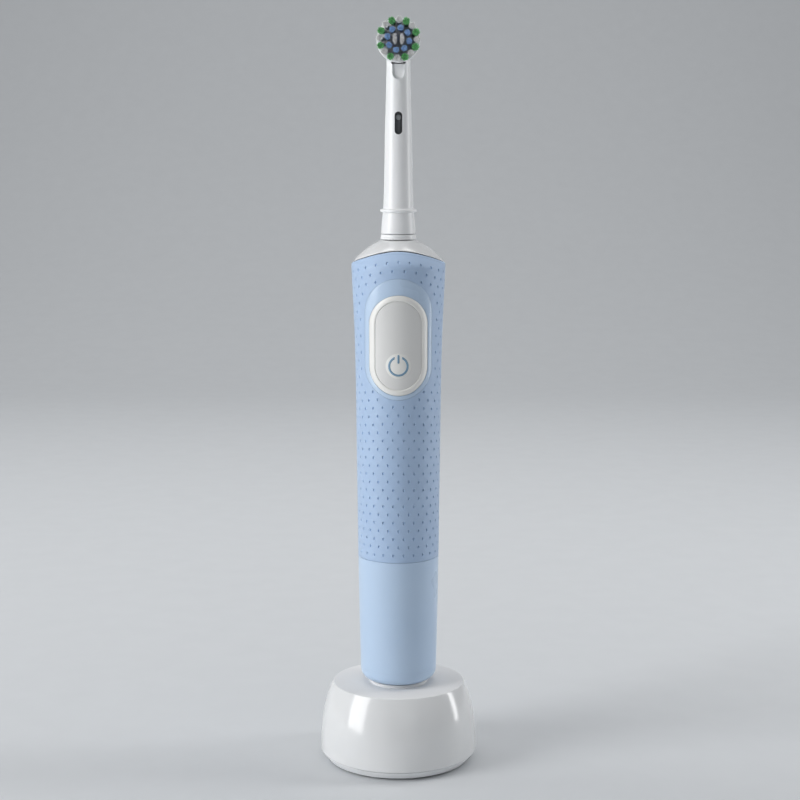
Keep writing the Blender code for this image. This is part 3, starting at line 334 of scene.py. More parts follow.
def turn(name, corners, material, steps=96, centre=(0, 0, 0), axis=(0, 0, 1), angle=35):
    """Spins a profile of (radius, height, corner radius), in mm, about an axis."""
    forward = Vector(axis).y != 0
    points = []
    for radius, height in rounded(corners):
        point = Vector((radius, height, 0)) if forward else Vector((radius, 0, height))
        points.append(point * mm + Vector(centre))
    obj = draw_path(points)
    bpy.ops.mesh.select_all(action="SELECT")
    bpy.ops.mesh.spin(steps=steps, angle=math.tau, center=centre, axis=axis)
    return finish_mesh(obj, name, material, angle)


def apply_modifier(obj, kind, **settings):
    start_clean()
    bpy.context.view_layer.objects.active = obj
    obj.select_set(True)
    modifier = obj.modifiers.new(kind.lower(), kind)
    for name, value in settings.items():
        setattr(modifier, name, value)
    bpy.ops.object.modifier_apply(modifier=modifier.name)


def cut_with(obj, tool, operation="DIFFERENCE", solver="MANIFOLD"):
    """Cuts obj with a closed tool and throws the tool away."""
    apply_modifier(obj, "BOOLEAN", object=tool, operation=operation, solver=solver)
    bpy.data.objects.remove(tool, do_unlink=True)


def rod_tool(radius, length, place, turned=0, sides=32):
    """A round rod for cutting or joining, in mm; turned 90 degrees it points forward."""
    start_clean()
    bpy.ops.mesh.primitive_cylinder_add(
        vertices=sides, radius=radius * mm, depth=length * mm,
        location=[value * mm for value in place], rotation=(math.radians(turned), 0, 0))
    return bpy.context.object


def block_tool(place, size):
    """A block for cutting or joining, in mm."""
    start_clean()
    bpy.ops.mesh.primitive_cube_add(size=1, location=[value * mm for value in place],
                                    scale=[value * mm for value in size])
    return bpy.context.object


def place_vertices(obj, place):
    """Moves every vertex to where the formula puts it."""
    for vertex in obj.data.vertices:
        vertex.co = place(vertex.co)
    obj.data.update()


# %% [markdown]
# The handle is a slightly waisted tube that ends in a dome. The same outline serves the
# housing, the sleeve, the cap, the frame and the button, so that they stay flush. Below the
# dome it is a smooth curve through five radii, and the dome is a superellipse.

# %% Outline of the handle
outline_points = [(0.0, 12.33), (0.22, 12.90), (0.50, 13.35), (0.80, 13.85), (1.0, 14.9)]
shoulder_radius = 14.9 * mm
collar_radius = 5.7 * mm
dome_power = 1.45
foot_fillet = 3.5 * mm
seam_side_drop, seam_front_rise, seam_power = 7.1, 4.1, 1.3


def handle_radius(height):
    """Outer radius of the handle at a height, both in metres."""
    if height > dome_foot:
        share = (collar_radius / shoulder_radius) ** dome_power
        full = (dome_top - dome_foot) / (1 - share) ** (1 / dome_power)
        rest = 1 - min((height - dome_foot) / full, 1) ** dome_power
        return shoulder_radius * rest ** (1 / dome_power)
    start = handle_foot + foot_fillet
    share = max(0.0, (height - start) / (dome_foot - start))
    spots = outline_points
    index = max(i for i in range(len(spots) - 1) if share >= spots[i][0])
    (x0, y0), (x1, y1) = spots[index], spots[index + 1]
    before, after = spots[max(index - 1, 0)], spots[min(index + 2, len(spots) - 1)]
    slope_0 = (y1 - before[1]) / (x1 - before[0])
    slope_1 = (after[1] - y0) / (after[0] - x0)
    t, span = (share - x0) / (x1 - x0), x1 - x0
    value = ((1 + 2 * t) * (1 - t) ** 2 * y0 + t * (1 - t) ** 2 * span * slope_0
             + t * t * (3 - 2 * t) * y1 - t * t * (1 - t) * span * slope_1)
    return value * mm


def seam_height(angle):
    """The shoulder seam rises at the front and at the back."""
    rise = seam_front_rise * abs(math.sin(angle)) ** seam_power
    return dome_top - (seam_side_drop - rise) * mm


print("radius at mid height:", round(handle_radius(0.095) / mm, 2))

# %% [markdown]
# ## The charger
# The charger's housing is one thin moulding: an oval body with a flat top, and a hollow peg
# for the coil's core. An oval edge loop is extruded and resized from ring to ring, up the
# inside and down the outside, so that the wall has its real thickness and nothing stays open.

# %% Oval stack
def oval_stack(name, corners, material, steps=128, angle=35):
    """A closed body through ovals of (half width, half depth, height, corner radius) in mm."""
    rings = [tuple(point) for point in rounded(corners)]
    start_clean()
    bpy.ops.mesh.primitive_circle_add(vertices=steps, radius=1 * mm)
    obj = bpy.context.object
    bpy.ops.object.mode_set(mode="EDIT")
    bpy.ops.transform.resize(value=(rings[0][0], rings[0][1], 1), center_override=(0, 0, 0))
    bpy.ops.transform.translate(value=(0, 0, rings[0][2] * mm))
    for before, after in zip(rings, rings[1:]):
        bpy.ops.mesh.extrude_edges_move(
            TRANSFORM_OT_translate={"value": (0, 0, (after[2] - before[2]) * mm)})
        bpy.ops.transform.resize(value=(after[0] / before[0], after[1] / before[1], 1),
                                 center_override=(0, 0, 0))
    for width, depth, height in (rings[0], rings[-1]):
        if width < 0.05:
            pick(obj, "vertices", lambda vertex: math.hypot(vertex.co.x, vertex.co.y)
                 < 0.06 * mm and abs(vertex.co.z - height * mm) < 0.001 * mm)
            bpy.ops.mesh.merge(type="CENTER")
    return finish_mesh(obj, name, material, angle)


def own_copy(obj):
    """A copy with its own mesh."""
    copy = obj.copy()
    copy.data = obj.data.copy()
    bpy.context.collection.objects.link(copy)
    return copy


def join_all(objects):
    """Joins the objects into the first of them."""
    start_clean()
    for obj in objects:
        obj.select_set(True)
    bpy.context.view_layer.objects.active = objects[0]
    bpy.ops.object.join()
    return bpy.context.object


def give(obj, body, slot, *nodes):
    """The piece moves with its body and stands for its CAD parts; its finish slot is not used."""
    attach(obj, body)
    if nodes:
        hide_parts(*nodes)
    print(obj.name, len(obj.data.polygons), "faces")
    return obj


rim_height, side_height, bulge_power = 3.2, 22.8, 2.6


def charger_side(height):
    """Half width and half depth of the charger at a height, all in mm."""
    bulge = 1 - ((height - rim_height) / side_height) ** bulge_power
    return 21.4 + 4.1 * bulge, 19.9 + 4.9 * bulge


# %% Charger housing
outside = [(*charger_side(height), height, 0)
           for height in (rim_height + side_height * step / 26 for step in range(1, 26))]
inside = [(width - 2.0, depth - 2.0, height, 0) for width, depth, height, _ in outside
          if height < 23.5]
corners = [(0.02, 0.02, 43.6, 0), (3.5, 3.5, 43.6, 0.3), (3.5, 3.5, 24.0, 0.3),
           (19.6, 17.9, 24.0, 1.0)]
corners += list(reversed(inside))
corners += [(23.5, 22.8, 3.2, 0.25), (25.5, 24.8, 3.2, 0.4)]
corners += outside
corners += [(21.4, 19.9, 26.0, 0.3), (9.4, 9.4, 26.0, 0.35), (9.4, 9.4, 26.9, 0.3),
            (4.4, 4.4, 26.9, 0.6), (4.4, 4.4, 45.0, 1.4), (0.02, 0.02, 45.0, 0)]
housing = oval_stack("charger_housing", corners, white_gloss)
cut_with(housing, rod_tool(3.3, 8, (0, 23.0, 9), 90, 64))
housing.data.materials.append(white_matt)
for face in housing.data.polygons:
    across = math.hypot(face.center.x, face.center.y)
    on_top = face.normal.z > 0.9 or across < 12 * mm
    face.material_index = 1 if on_top and 25.9 < face.center.z / mm < 27.2 else 0
give(housing, "charger", "white_gloss", "charger_shell")

# %% [markdown]
# Under the housing sits the base plate, which stands a little back so that the charger seems
# to float. It has three countersunk screws and a soft ring in a groove, which stops it from
# sliding. A short bush in the back takes the cord.

# %% Base plate, foot ring and inlet bush
base = oval_stack("charger_base", [
    (0.02, 0.02, 0.6, 0), (18.7, 18.0, 0.6, 0.1), (18.7, 18.0, 1.2, 0.1),
    (22.5, 21.8, 1.2, 0.1), (22.5, 21.8, 0.6, 0.1), (23.2, 22.5, 0.6, 0.3),
    (25.0, 24.3, 2.95, 0.15), (23.2, 22.5, 2.95, 0.1), (23.2, 22.5, 4.0, 0.2),
    (0.02, 0.02, 4.0, 0)], white_satin)
for turn_angle in (30, 150, 270):
    place = Matrix.Rotation(math.radians(turn_angle), 3, "Z") @ Vector((12.1 * mm, 0, 0))
    screw_seat = turn("screw_seat", [(0, -1, 0), (2.4, -1, 0), (2.4, 2.0, 0), (1.3, 2.0, 0),
                                     (1.3, 5, 0), (0, 5, 0)], white_satin, 32, place)
    cut_with(base, screw_seat)
give(base, "charger", "white", "charger_base_plate")

ring = oval_stack("charger_soft_foot", [
    (20.0, 19.3, 0.9, 0), (20.0, 19.3, 0.0, 0.3), (22.2, 21.5, 0.0, 0.3),
    (22.2, 21.5, 0.9, 0.1), (20.0, 19.3, 0.9, 0)], foot_rubber)
give(ring, "charger", "grey_rubber", "charger_foot_ring")

bush = turn("cord_bush", [(1.9, 24.2, 0), (3.0, 24.2, 0.4), (3.0, 21.2, 0.2), (4.2, 21.2, 0.2),
                          (4.2, 20.0, 0.2), (1.9, 20.0, 0.2), (1.9, 24.2, 0)],
            white_satin, 64, (0, 0, 9 * mm), (0, 1, 0))
give(bush, "charger", "white", "cord_inlet_bush")

# %% [markdown]
# ## The handle
# The handle's lower end is a cap with the socket for the charger's peg. The light blue
# housing above it is a polished moulding, and its upper tube is narrower, because the soft
# grip is moulded over it. Both are lathe work: a profile spun about the axis.

# %% Bottom cap and housing
def wall(low, high, count, inset=0.0):
    """Corners along the handle's outline, in mm, between two heights in mm."""
    return [(handle_radius(height * mm) / mm - inset, height, 0)
            for height in [low + (high - low) * step / count for step in range(count + 1)]]


cap_profile = [(5.0, 27.2, 0)]
for step in range(9):
    angle = math.radians(90) * step / 8
    cap_profile.append((8.83 + 3.5 * math.sin(angle), 30.7 - 3.5 * math.cos(angle), 0))
cap_profile += [(12.33, 31.5, 0), (9.85, 31.5, 0), (9.85, 35.6, 0.3), (7.65, 35.6, 0.3),
                (7.65, 31.4, 0.3), (6.1, 31.4, 0.3), (6.1, 46.8, 0.4), (0, 46.8, 0),
                (0, 45.6, 0), (5.0, 45.6, 0.3), (5.0, 27.2, 0)]
cap = turn("handle_foot_cap", cap_profile, body_blue, 128)
give(cap, "handle", "light_blue", "bottom_cap")

shell_profile = [(10.15, 31.53, 0)] + wall(31.53, 68.46, 14)
shell_profile += wall(68.46, 115.0, 10, 1.6) + wall(116.0, 158.0, 8, 2.8)
shell_profile += [(10.4, 160.6, 0.4), (3.3, 160.6, 0.2), (3.3, 157.9, 0.2),
                  (10.15, 157.9, 0.4), (10.15, 31.53, 0)]
shell = turn("handle_shell", shell_profile, body_blue, 128)
cut_with(shell, rod_tool(1.6, 6, (0, -11, 131.8), 90), solver="EXACT")
give(shell, "handle", "light_blue", "handle_housing")

# %% [markdown]
# ## The grip
# The soft grip is covered with small dimples in staggered rows, which give a wet hand hold.
# One cell with one dimple is modelled flat: a sixteen-sided disc, inset twice for the rim
# and the bowl, with its outer edge drawn out to a rectangle. Arrays repeat the cell, and a
# formula then wraps the flat field round the handle.

# %% One dimple cell
per_row, row_pairs = 25, 18
cell_width, cell_height = 3.4, 2.56
field_top = 161.48
dimple_half_width, dimple_half_height = 0.34, 0.55


def cell_corner(index):
    """Where the sixteen outer points of a cell lie on its rectangle, in shares of a half."""
    side = [(1, 0), (1, 0.5), (1, 1), (0.5, 1), (0, 1), (-0.5, 1), (-1, 1), (-1, 0.5),
            (-1, 0), (-1, -0.5), (-1, -1), (-0.5, -1), (0, -1), (0.5, -1), (1, -1), (1, -0.5)]
    return side[index % 16]


start_clean()
bpy.ops.mesh.primitive_circle_add(vertices=16, radius=1.0, fill_type="NGON")
grip = bpy.context.object
bpy.ops.object.mode_set(mode="EDIT")
bpy.ops.mesh.inset(thickness=0.5, depth=0)
bpy.ops.mesh.inset(thickness=0.12, depth=-0.14)
bpy.ops.mesh.inset(thickness=0.14, depth=-0.22)
bpy.ops.object.mode_set(mode="OBJECT")


def shape_cell(co):
    """The outer ring goes to the rectangle and the inner ones become an upright oval."""
    size, angle = math.hypot(co.x, co.y), math.atan2(co.y, co.x)
    if size > 0.95:
        share_x, share_y = cell_corner(round(angle / math.radians(22.5)))
        return Vector((share_x * cell_width / 2, share_y * cell_height / 2, 0)) * mm
    scale = size / 0.51
    return Vector((math.cos(angle) * dimple_half_width * scale,
                   math.sin(angle) * dimple_half_height * scale, co.z)) * mm


place_vertices(grip, shape_cell)
print("one cell:", len(grip.data.polygons), "faces")

# %% The field of dimples
apply_modifier(grip, "ARRAY", count=per_row, use_relative_offset=False,
               use_constant_offset=True, constant_offset_displace=(cell_width * mm, 0, 0))
second = own_copy(grip)
second.data.transform(Matrix.Translation((cell_width / 2 * mm, -cell_height * mm, 0)))
join_all([grip, second])
apply_modifier(grip, "ARRAY", count=row_pairs, use_relative_offset=False,
               use_constant_offset=True,
               constant_offset_displace=(0, -2 * cell_height * mm, 0))
print("field:", len(grip.data.polygons), "faces")

# %% [markdown]
# The rows of dimples bow upwards at the front and at the back, as the shoulder seam does,
# and they run out before the smooth frame round the button. The window for that frame is
# an upright shape with two half-round ends, which serves as a cutting tool as well.

# %% Wrap the field
frame_low, frame_high, frame_width = 121.0, 159.0, 20.9
field_foot = field_top - 2 * row_pairs * cell_height


def row_lift(flat):
    """How far the front of a row is raised, in mm, at its height at the sides."""
    return 0.3 + 3.55 * (flat - field_foot) / (field_top - field_foot)


def near_window(x, z, margin):
    """True inside the frame's outline, widened by a margin; all in mm."""
    reach = frame_width / 2
    middle = min(max(z, frame_low + reach), frame_high - reach)
    return math.hypot(x, z - middle) < reach + margin


def wrap_field(co):
    turns = co.x / (cell_width * mm) / per_row
    angle = math.tau * turns - math.pi / 2
    flat = field_top - cell_height / 2 + co.y / mm
    row = round((field_top - flat) / cell_height - 0.5)
    column = round(co.x / (cell_width * mm) - 0.5 * (row % 2)) + 0.5 * (row % 2)
    middle_angle = math.tau * column / per_row - math.pi / 2
    middle = field_top - (row + 0.5) * cell_height
    height = middle + row_lift(middle) * math.sin(middle_angle) ** 2
    on_front = math.sin(middle_angle) < 0
    depth = co.z
    if on_front and near_window(13.9 * math.cos(middle_angle), height, 0.9):
        depth = 0.0
    height = flat + row_lift(flat) * math.sin(angle) ** 2
    radius = handle_radius(height * mm) + depth
    return Vector((radius * math.cos(angle), radius * math.sin(angle), height * mm))


place_vertices(grip, wrap_field)
start_clean()
bpy.context.view_layer.objects.active = grip
grip.select_set(True)
bpy.ops.object.mode_set(mode="EDIT")
bpy.ops.mesh.select_all(action="SELECT")
bpy.ops.mesh.remove_doubles(threshold=0.004 * mm)
bpy.ops.mesh.normals_make_consistent(inside=False)


def at_rim(edge, upper):
    middle = edge_middle(edge)
    return len(edge.link_faces) == 1 and (middle.z > 115 * mm) == upper


def extend(upper, place):
    """Adds one row of faces at a rim of the sleeve and places its new vertices."""
    pick(grip, "edges", lambda edge: at_rim(edge, upper))
    bpy.ops.mesh.extrude_edges_move()
    mesh = bmesh.from_edit_mesh(grip.data)
    for vertex in mesh.verts:
        if vertex.select:
            vertex.co = place(vertex.co)
    bmesh.update_edit_mesh(grip.data)


def at_height(co, height, raised):
    angle = math.atan2(co.y, co.x)
    radius = handle_radius(height) + raised * mm
    return Vector((radius * math.cos(angle), radius * math.sin(angle), height))


def toward_seam(share, raised):
    """A place between the field's upper edge and the seam, raised a little as a lip."""
    def place(co):
        angle = math.atan2(co.y, co.x)
        low = (field_top + row_lift(field_top) * math.sin(angle) ** 2) * mm
        high = seam_height(angle) - 0.15 * mm
        return at_height(co, low + (high - low) * share, raised)
    return place


for share, raised in ((0.3, 0), (0.55, 0), (0.62, 0.03), (0.70, 0.13), (0.80, 0.19),
                      (0.92, 0.17), (0.98, 0.08), (1.0, -0.05), (1.0, -1.2)):
    extend(True, toward_seam(share, raised))
for height, raised in ((sleeve_foot + 0.25 * mm, 0), (sleeve_foot + 0.06 * mm, -0.06),
                       (sleeve_foot, -0.2), (sleeve_foot, -1.2)):
    extend(False, lambda co, height=height, raised=raised: at_height(co, height, raised))
pick(grip, "edges", lambda edge: len(edge.link_faces) == 1)
bpy.ops.mesh.bridge_edge_loops(number_cuts=24)
bpy.ops.object.mode_set(mode="OBJECT")


def inner_wall(co):
    """The bridged inner wall follows the outline at the sleeve's thickness."""
    across = math.hypot(co.x, co.y)
    if across > handle_radius(co.z) - 0.75 * mm or across < 1 * mm:
        return co
    return at_height(co, co.z, -1.2)


place_vertices(grip, inner_wall)
finish_mesh(grip, "grip_skin", grip_blue, 30)
print("grip:", len(grip.data.polygons), "faces")


# %% Window in the grip
def stadium(name, width, low, height, y=0.0, sides=96, cuts=12):
    """A flat upright shape with two half-round ends, facing the front; sizes in mm."""
    start_clean()
    bpy.ops.mesh.primitive_circle_add(vertices=sides, radius=width / 2 * mm,
                                      fill_type="NGON")
    obj = bpy.context.object
    obj.name = name
    bpy.ops.object.mode_set(mode="EDIT")
    bpy.ops.transform.rotate(value=math.pi / sides, orient_axis="Z",
                             center_override=(0, 0, 0))
    bpy.ops.transform.rotate(value=math.radians(90), orient_axis="X",
                             center_override=(0, 0, 0))
    pick(obj, "vertices", lambda vertex: vertex.co.z > 0)
    bpy.ops.transform.translate(value=(0, 0, (height - width) * mm))
    if cuts:
        pick(obj, "edges", lambda edge: abs(edge.verts[0].co.x - edge.verts[1].co.x)
             < 0.001 * mm and abs(edge_middle(edge).x) > (width / 2 - 0.1) * mm)
        bpy.ops.mesh.subdivide(number_cuts=cuts)
    bpy.ops.mesh.select_all(action="SELECT")
    bpy.ops.transform.translate(value=(0, y * mm, (low + width / 2) * mm))
    bpy.ops.mesh.normals_make_consistent(inside=False)
    if bmesh.from_edit_mesh(obj.data).faces[0].normal.y > 0:
        bpy.ops.mesh.flip_normals()
    return obj


def stadium_tool(width, low, height, front, back):
    """The closed body of that shape, from front to back, for cutting."""
    obj = stadium("tool", width, low, height, front, cuts=0)
    bpy.ops.mesh.select_all(action="SELECT")
    bpy.ops.mesh.extrude_region_move(
        TRANSFORM_OT_translate={"value": (0, (back - front) * mm, 0)})
    bpy.ops.mesh.select_all(action="SELECT")
    bpy.ops.mesh.normals_make_consistent(inside=False)
    bpy.ops.object.mode_set(mode="OBJECT")
    return obj


cut_with(grip, stadium_tool(frame_width + 0.1, frame_low - 0.05, frame_high - frame_low + 0.1,
                            -22, -3))
give(grip, "handle", "blue_grip", "grip_sleeve")

# %% [markdown]
# The white shoulder cap closes the handle. Its lower edge is not level: it rises at the
# front and at the back. The cap is turned as a plain dome with a stub for the brush head,
# and every ring near the dome's surface is then moved up to the seam and back out.

# %% Shoulder cap
dome_start = 162.0
cap_corners = wall(dome_start, 170.28, 30)[:-1]
cap_corners += [(5.7, 170.3, 0.12), (3.1, 170.3, 0.3), (3.1, 180.1, 0.4), (2.0, 180.1, 0.15),
                (2.0, 165.7, 0), (3.9, 165.7, 0), (3.9, 161.2, 0.2), (5.2, 161.2, 0.2),
                (5.2, 168.3, 0.3)]
cap_corners += list(reversed(wall(dome_start, 168.2, 16, 1.2)))
cap_corners += [(handle_radius(dome_start * mm) / mm, dome_start, 0)]
shoulder = turn("shoulder_dome", cap_corners, white_gloss, 160)


def follow_seam(co):
    across, angle = math.hypot(co.x, co.y), math.atan2(co.y, co.x)
    inset = handle_radius(co.z) - across
    if across < 5.65 * mm or inset > 1.5 * mm or co.z < (dome_start - 0.01) * mm:
        return co
    share = (co.z - dome_start * mm) / (dome_top - dome_start * mm)
    low = seam_height(angle) + 0.15 * mm
    height = low + (dome_top - low) * share
    radius = handle_radius(height) - inset - 0.12 * mm * max(0.0, 1 - 12 * share)
    return Vector((radius * math.cos(angle), radius * math.sin(angle), height))


place_vertices(shoulder, follow_seam)
give(shoulder, "handle", "white_gloss", "shoulder_cap")

# %% [markdown]
# ## Frame, button and symbol
# These parts are curved plates with round ends. Each starts as one flat face, which is inset
# ring by ring, each ring a little higher or lower. The flat plate is then wrapped on the
# handle's outline and gets its thickness from Solidify.

# %% Wrapped plates
def wrap_front(co):
    """Flat plate to handle: its distance in front becomes its height over the outline."""
    radius = handle_radius(min(co.z, dome_foot)) - co.y
    return Vector((co.x, -math.sqrt(max(radius ** 2 - co.x ** 2, 0)), co.z))


def wrapped_plate(name, width, low, height, steps, thickness, material, place=wrap_front):
    """A stadium inset through (distance, rise) steps in mm, wrapped and given a thickness."""
    obj = stadium(name, width, low, height)
    for distance, rise in steps:
        bpy.ops.mesh.inset(thickness=distance * mm, depth=rise * mm)
    bpy.ops.object.mode_set(mode="OBJECT")
    place_vertices(obj, place)
    apply_modifier(obj, "SOLIDIFY", thickness=thickness * mm, offset=-1)
    return finish_mesh(obj, name, material, 40)


window_frame = wrapped_plate(
    "button_surround", 20.9, 121.0, 38.0,
    [(0.05, 0.04), (0.10, 0.02)] + [(0.72, 0.0)] * 14, 1.2, body_blue)
cut_with(window_frame, stadium_tool(18.34, 122.33, 31.64, -22, -3))
apply_modifier(window_frame, "BEVEL", width=0.06 * mm, segments=2, limit_method="ANGLE",
               angle_limit=math.radians(50))
give(window_frame, "handle", "light_blue", "button_frame")

# %% [markdown]
# The button has a wide bevelled rim round a grey field. A low round dome carries the power
# symbol. `field_rise` is the height of the grey field over the handle's outline, and the
# dome and the symbol are laid on the same formula, so that nothing floats or sinks.

# %% Button and grey field
symbol_height, dome_radius = 131.8, 4.05


def dome_rise(x, z):
    """Height in mm of the round dome over the grey field."""
    share = math.hypot(x, z - symbol_height * mm) / (dome_radius * mm)
    return 0.42 * (1 - min(share, 1) ** 2.4)


rim = wrapped_plate(
    "button_rim", 18.2, 122.4, 31.5,
    [(0.05, 0.12), (0.10, 0.12), (0.18, 0.10), (0.45, 0.16), (0.55, 0.06), (0.35, -0.06),
     (0.12, -0.12), (0.05, -0.35)] + [(0.85, 0.0)] * 8, 1.1, button_white)
give(rim, "button", "button", "power_button")

field = wrapped_plate(
    "button_field", 14.54, 124.23, 27.84,
    [(0.02, 0.30), (0.06, 0.04), (0.12, 0.01)] + [(0.55, 0.0)] * 12, 0.35, pad_grey)
give(field, "button", "pad", "button_pad")

# %% Power symbol
dome = turn("symbol_dome", [(0, 0.3, 0), (dome_radius, 0.3, 0)]
            + [(dome_radius * share, -0.42 * (1 - share ** 2.4), 0)
               for share in (1, 0.97, 0.92, 0.84, 0.72, 0.55, 0.35, 0.15, 0)],
            button_white, 96, (0, 0, symbol_height * mm), (0, 1, 0))


def on_field(co):
    radius = handle_radius(co.z) + 0.33 * mm - co.y
    return Vector((co.x, -math.sqrt(radius ** 2 - co.x ** 2), co.z))


place_vertices(dome, on_field)
give(dome, "button", "button")

symbol_blue = moulded("ink_pad_printed_steel_blue", "#7FA3BD", "#7699B4", 0.35, 1.5, 0.2, 0.001)
start_clean()
bpy.ops.mesh.primitive_circle_add(vertices=96, radius=3.2 * mm,
                                  rotation=(math.radians(90), 0, 0))
symbol = bpy.context.object
bpy.ops.object.transform_apply(rotation=True)
bpy.ops.object.mode_set(mode="EDIT")
bpy.ops.mesh.extrude_edges_move()
bpy.ops.transform.resize(value=(2.87 / 3.2,) * 3, center_override=(0, 0, 0))
bpy.ops.mesh.extrude_edges_move()
bpy.ops.transform.resize(value=(2.55 / 2.87,) * 3, center_override=(0, 0, 0))
pick(symbol, "faces", lambda face: abs(face.calc_center_median().x) < 1.15 * mm
     and face.calc_center_median().z > 0)
bpy.ops.mesh.delete(type="FACE")
bpy.ops.mesh.select_all(action="SELECT")
bpy.ops.transform.translate(value=(0, 0, symbol_height * mm))
bpy.ops.object.mode_set(mode="OBJECT")
bar = stadium("bar", 0.65, symbol_height + 0.9, 2.7, cuts=4, sides=24)
bpy.ops.object.mode_set(mode="OBJECT")
join_all([symbol, bar])


def on_dome(co):
    radius = handle_radius(co.z) + (0.33 + dome_rise(co.x, co.z) + 0.03) * mm
    return Vector((co.x, -math.sqrt(radius ** 2 - co.x ** 2), co.z))


place_vertices(symbol, on_dome)
finish_mesh(symbol, "power_symbol", symbol_blue)
bpy.ops.object.mode_set(mode="EDIT")
if sum(face.normal.y for face in bmesh.from_edit_mesh(symbol.data).faces) > 0:
    bpy.ops.mesh.select_all(action="SELECT")
    bpy.ops.mesh.flip_normals()
bpy.ops.object.mode_set(mode="OBJECT")
apply_modifier(symbol, "SOLIDIFY", thickness=0.06 * mm, offset=-1)
give(symbol, "button", "button")

# %% [markdown]
# ## The brush head
# The head's neck and the cup behind the bristles are one white moulding. The neck is turned
# and the cup is turned about the bristles' axis; the two are joined, and Remesh with a
# little smoothing gives the soft blend between them. Then the holes are cut: the passage
# for the link, the small window, the shallow recess and the slot under the disc.

# %% Neck and cup
z0, zc = head_foot / mm, disc_centre.z / mm
neck = turn("neck_moulding", [
    (0, z0 + 0.02, 0), (4.5, z0 + 0.02, 0), (4.5, z0 + 1.7, 0), (5.5, z0 + 1.7, 0.15),
    (5.37, z0 + 4.1, 0.8), (4.86, z0 + 9, 2), (4.76, z0 + 9.5, 2), (4.4, z0 + 22, 6),
    (4.3, z0 + 32, 6), (3.9, z0 + 44, 5), (3.74, z0 + 53, 3), (3.74, zc - 4.2, 0),
    (0, zc - 4.2, 0)], white_satin, 128)
cup = turn("cup", [(0, 3.9, 0), (5.3, 3.9, 1.6), (5.9, 1.3, 1.2), (5.9, -3.3, 0.35),
                   (4.95, -3.3, 0.2), (4.95, 1.0, 1.0), (3.75, 2.35, 0), (0, 2.35, 0)],
           white_satin, 128, (0, 0, zc * mm), (0, 1, 0))
cut_with(neck, cup, "UNION")
apply_modifier(neck, "REMESH", mode="VOXEL", voxel_size=0.19 * mm, adaptivity=0.0)
blend = neck.vertex_groups.new(name="blend")
blend.add([v.index for v in neck.data.vertices
           if v.co.z > (zc - 14) * mm and v.co.z < (zc + 1) * mm], 1.0, "REPLACE")
apply_modifier(neck, "SMOOTH", factor=0.5, iterations=14, vertex_group="blend")
apply_modifier(neck, "SMOOTH", factor=0.5, iterations=3)
collar = turn("collar", [(4.3, z0 + 8.3, 0), (4.85, z0 + 8.35, 0.3), (5.77, z0 + 8.6, 0.15),
                         (5.77, z0 + 9.3, 0.2), (4.75, z0 + 9.6, 0.3), (4.3, z0 + 9.7, 0),
                         (4.3, z0 + 8.3, 0)], white_satin, 128)
cut_with(neck, collar, "UNION")
passage = turn("passage", [(0, z0 - 1, 0), (3.4, z0 - 1, 0), (3.4, z0 + 10.8, 0.3),
                           (2.9, z0 + 10.8, 0.3), (2.9, z0 + 42.0, 0.5), (2.1, z0 + 42.0, 0.5),
                           (2.1, zc - 3.6, 0), (0, zc - 3.6, 0)], white_satin, 64)
cut_with(neck, passage)
cut_with(neck, stadium_tool(3.8, z0 + 49.5, 9.0, -9, -2.75))
cut_with(neck, block_tool((0, -4.8, zc - 4.95), (4.5, 8.4, 3.9)))
cut_with(neck, stadium_tool(2.35, z0 + 32.6, 7.0, -9, -1.0))
cut_with(neck, rod_tool(1.0, 3, (0, 1.95, zc), 90))
finish_mesh(neck, "neck_moulding", white_satin, 35)
give(neck, "head", "white_gloss", "head_neck")

# %% [markdown]
# The ring at the head's foot is a separate clip, coloured on some heads so that each user
# knows their own. This one is white, with one fine groove.

# %% Ring at the foot of the head
foot_ring = turn("head_clip_ring", [
    (4.7, z0, 0), (5.7, z0, 0.15), (5.64, z0 + 0.55, 0), (5.52, z0 + 0.62, 0),
    (5.52, z0 + 0.74, 0), (5.62, z0 + 0.8, 0), (5.5, z0 + 1.5, 0.15), (4.7, z0 + 1.5, 0.1),
    (4.7, z0, 0)], white_satin, 128)
give(foot_ring, "head", "white", "id_ring")

# %% [markdown]
# ## The moving disc
# The round disc carries the bristles and rocks about the axle in the cup. Behind it sits a
# hub with a notch for the link's crank. Both are turned about the axle, which points at the
# viewer.

# %% Disc and hub
disc_place = (0, 0, zc * mm)
plate = turn("bristle_disc", [(0, -6.7, 0), (6.7, -6.7, 0.4), (6.7, -4.5, 0.15),
                              (6.25, -4.5, 0.1), (6.25, -5.7, 0.1), (0, -5.7, 0),
                              (0, -6.7, 0)], white_satin, 128, disc_place, (0, 1, 0))
give(plate, "carrier", "white", "carrier_plate")

hub = turn("disc_hub", [(1.1, -1.2, 0.1), (4.5, -1.2, 0.3), (4.5, -3.6, 0.2),
                        (6.3, -3.6, 0.15), (6.3, -4.2, 0.1), (0, -4.2, 0), (0, -4.0, 0),
                        (1.1, -4.0, 0), (1.1, -1.2, 0)], white_satin, 96, disc_place,
           (0, 1, 0))
cut_with(hub, block_tool((0, -1.9, zc - 3.6), (2.3, 3.4, 4.0)))
give(hub, "carrier", "white", "carrier_hub")

# %% [markdown]
# ## Bristles
# A bristle is drawn nylon with a rounded tip. It is dyed in the thread, and its colour is painted
# darker near the root as painted shade, the shade its neighbours cast there. One strand is
# modelled
# once: a six-sided rod whose tip is extruded and narrowed. Real strands are 0.15 mm thick; these
# are a little thicker and fewer, so that they still show one by one.

# %% Strand and bristle material
plate_front, bristle_length = -6.7, 7.4


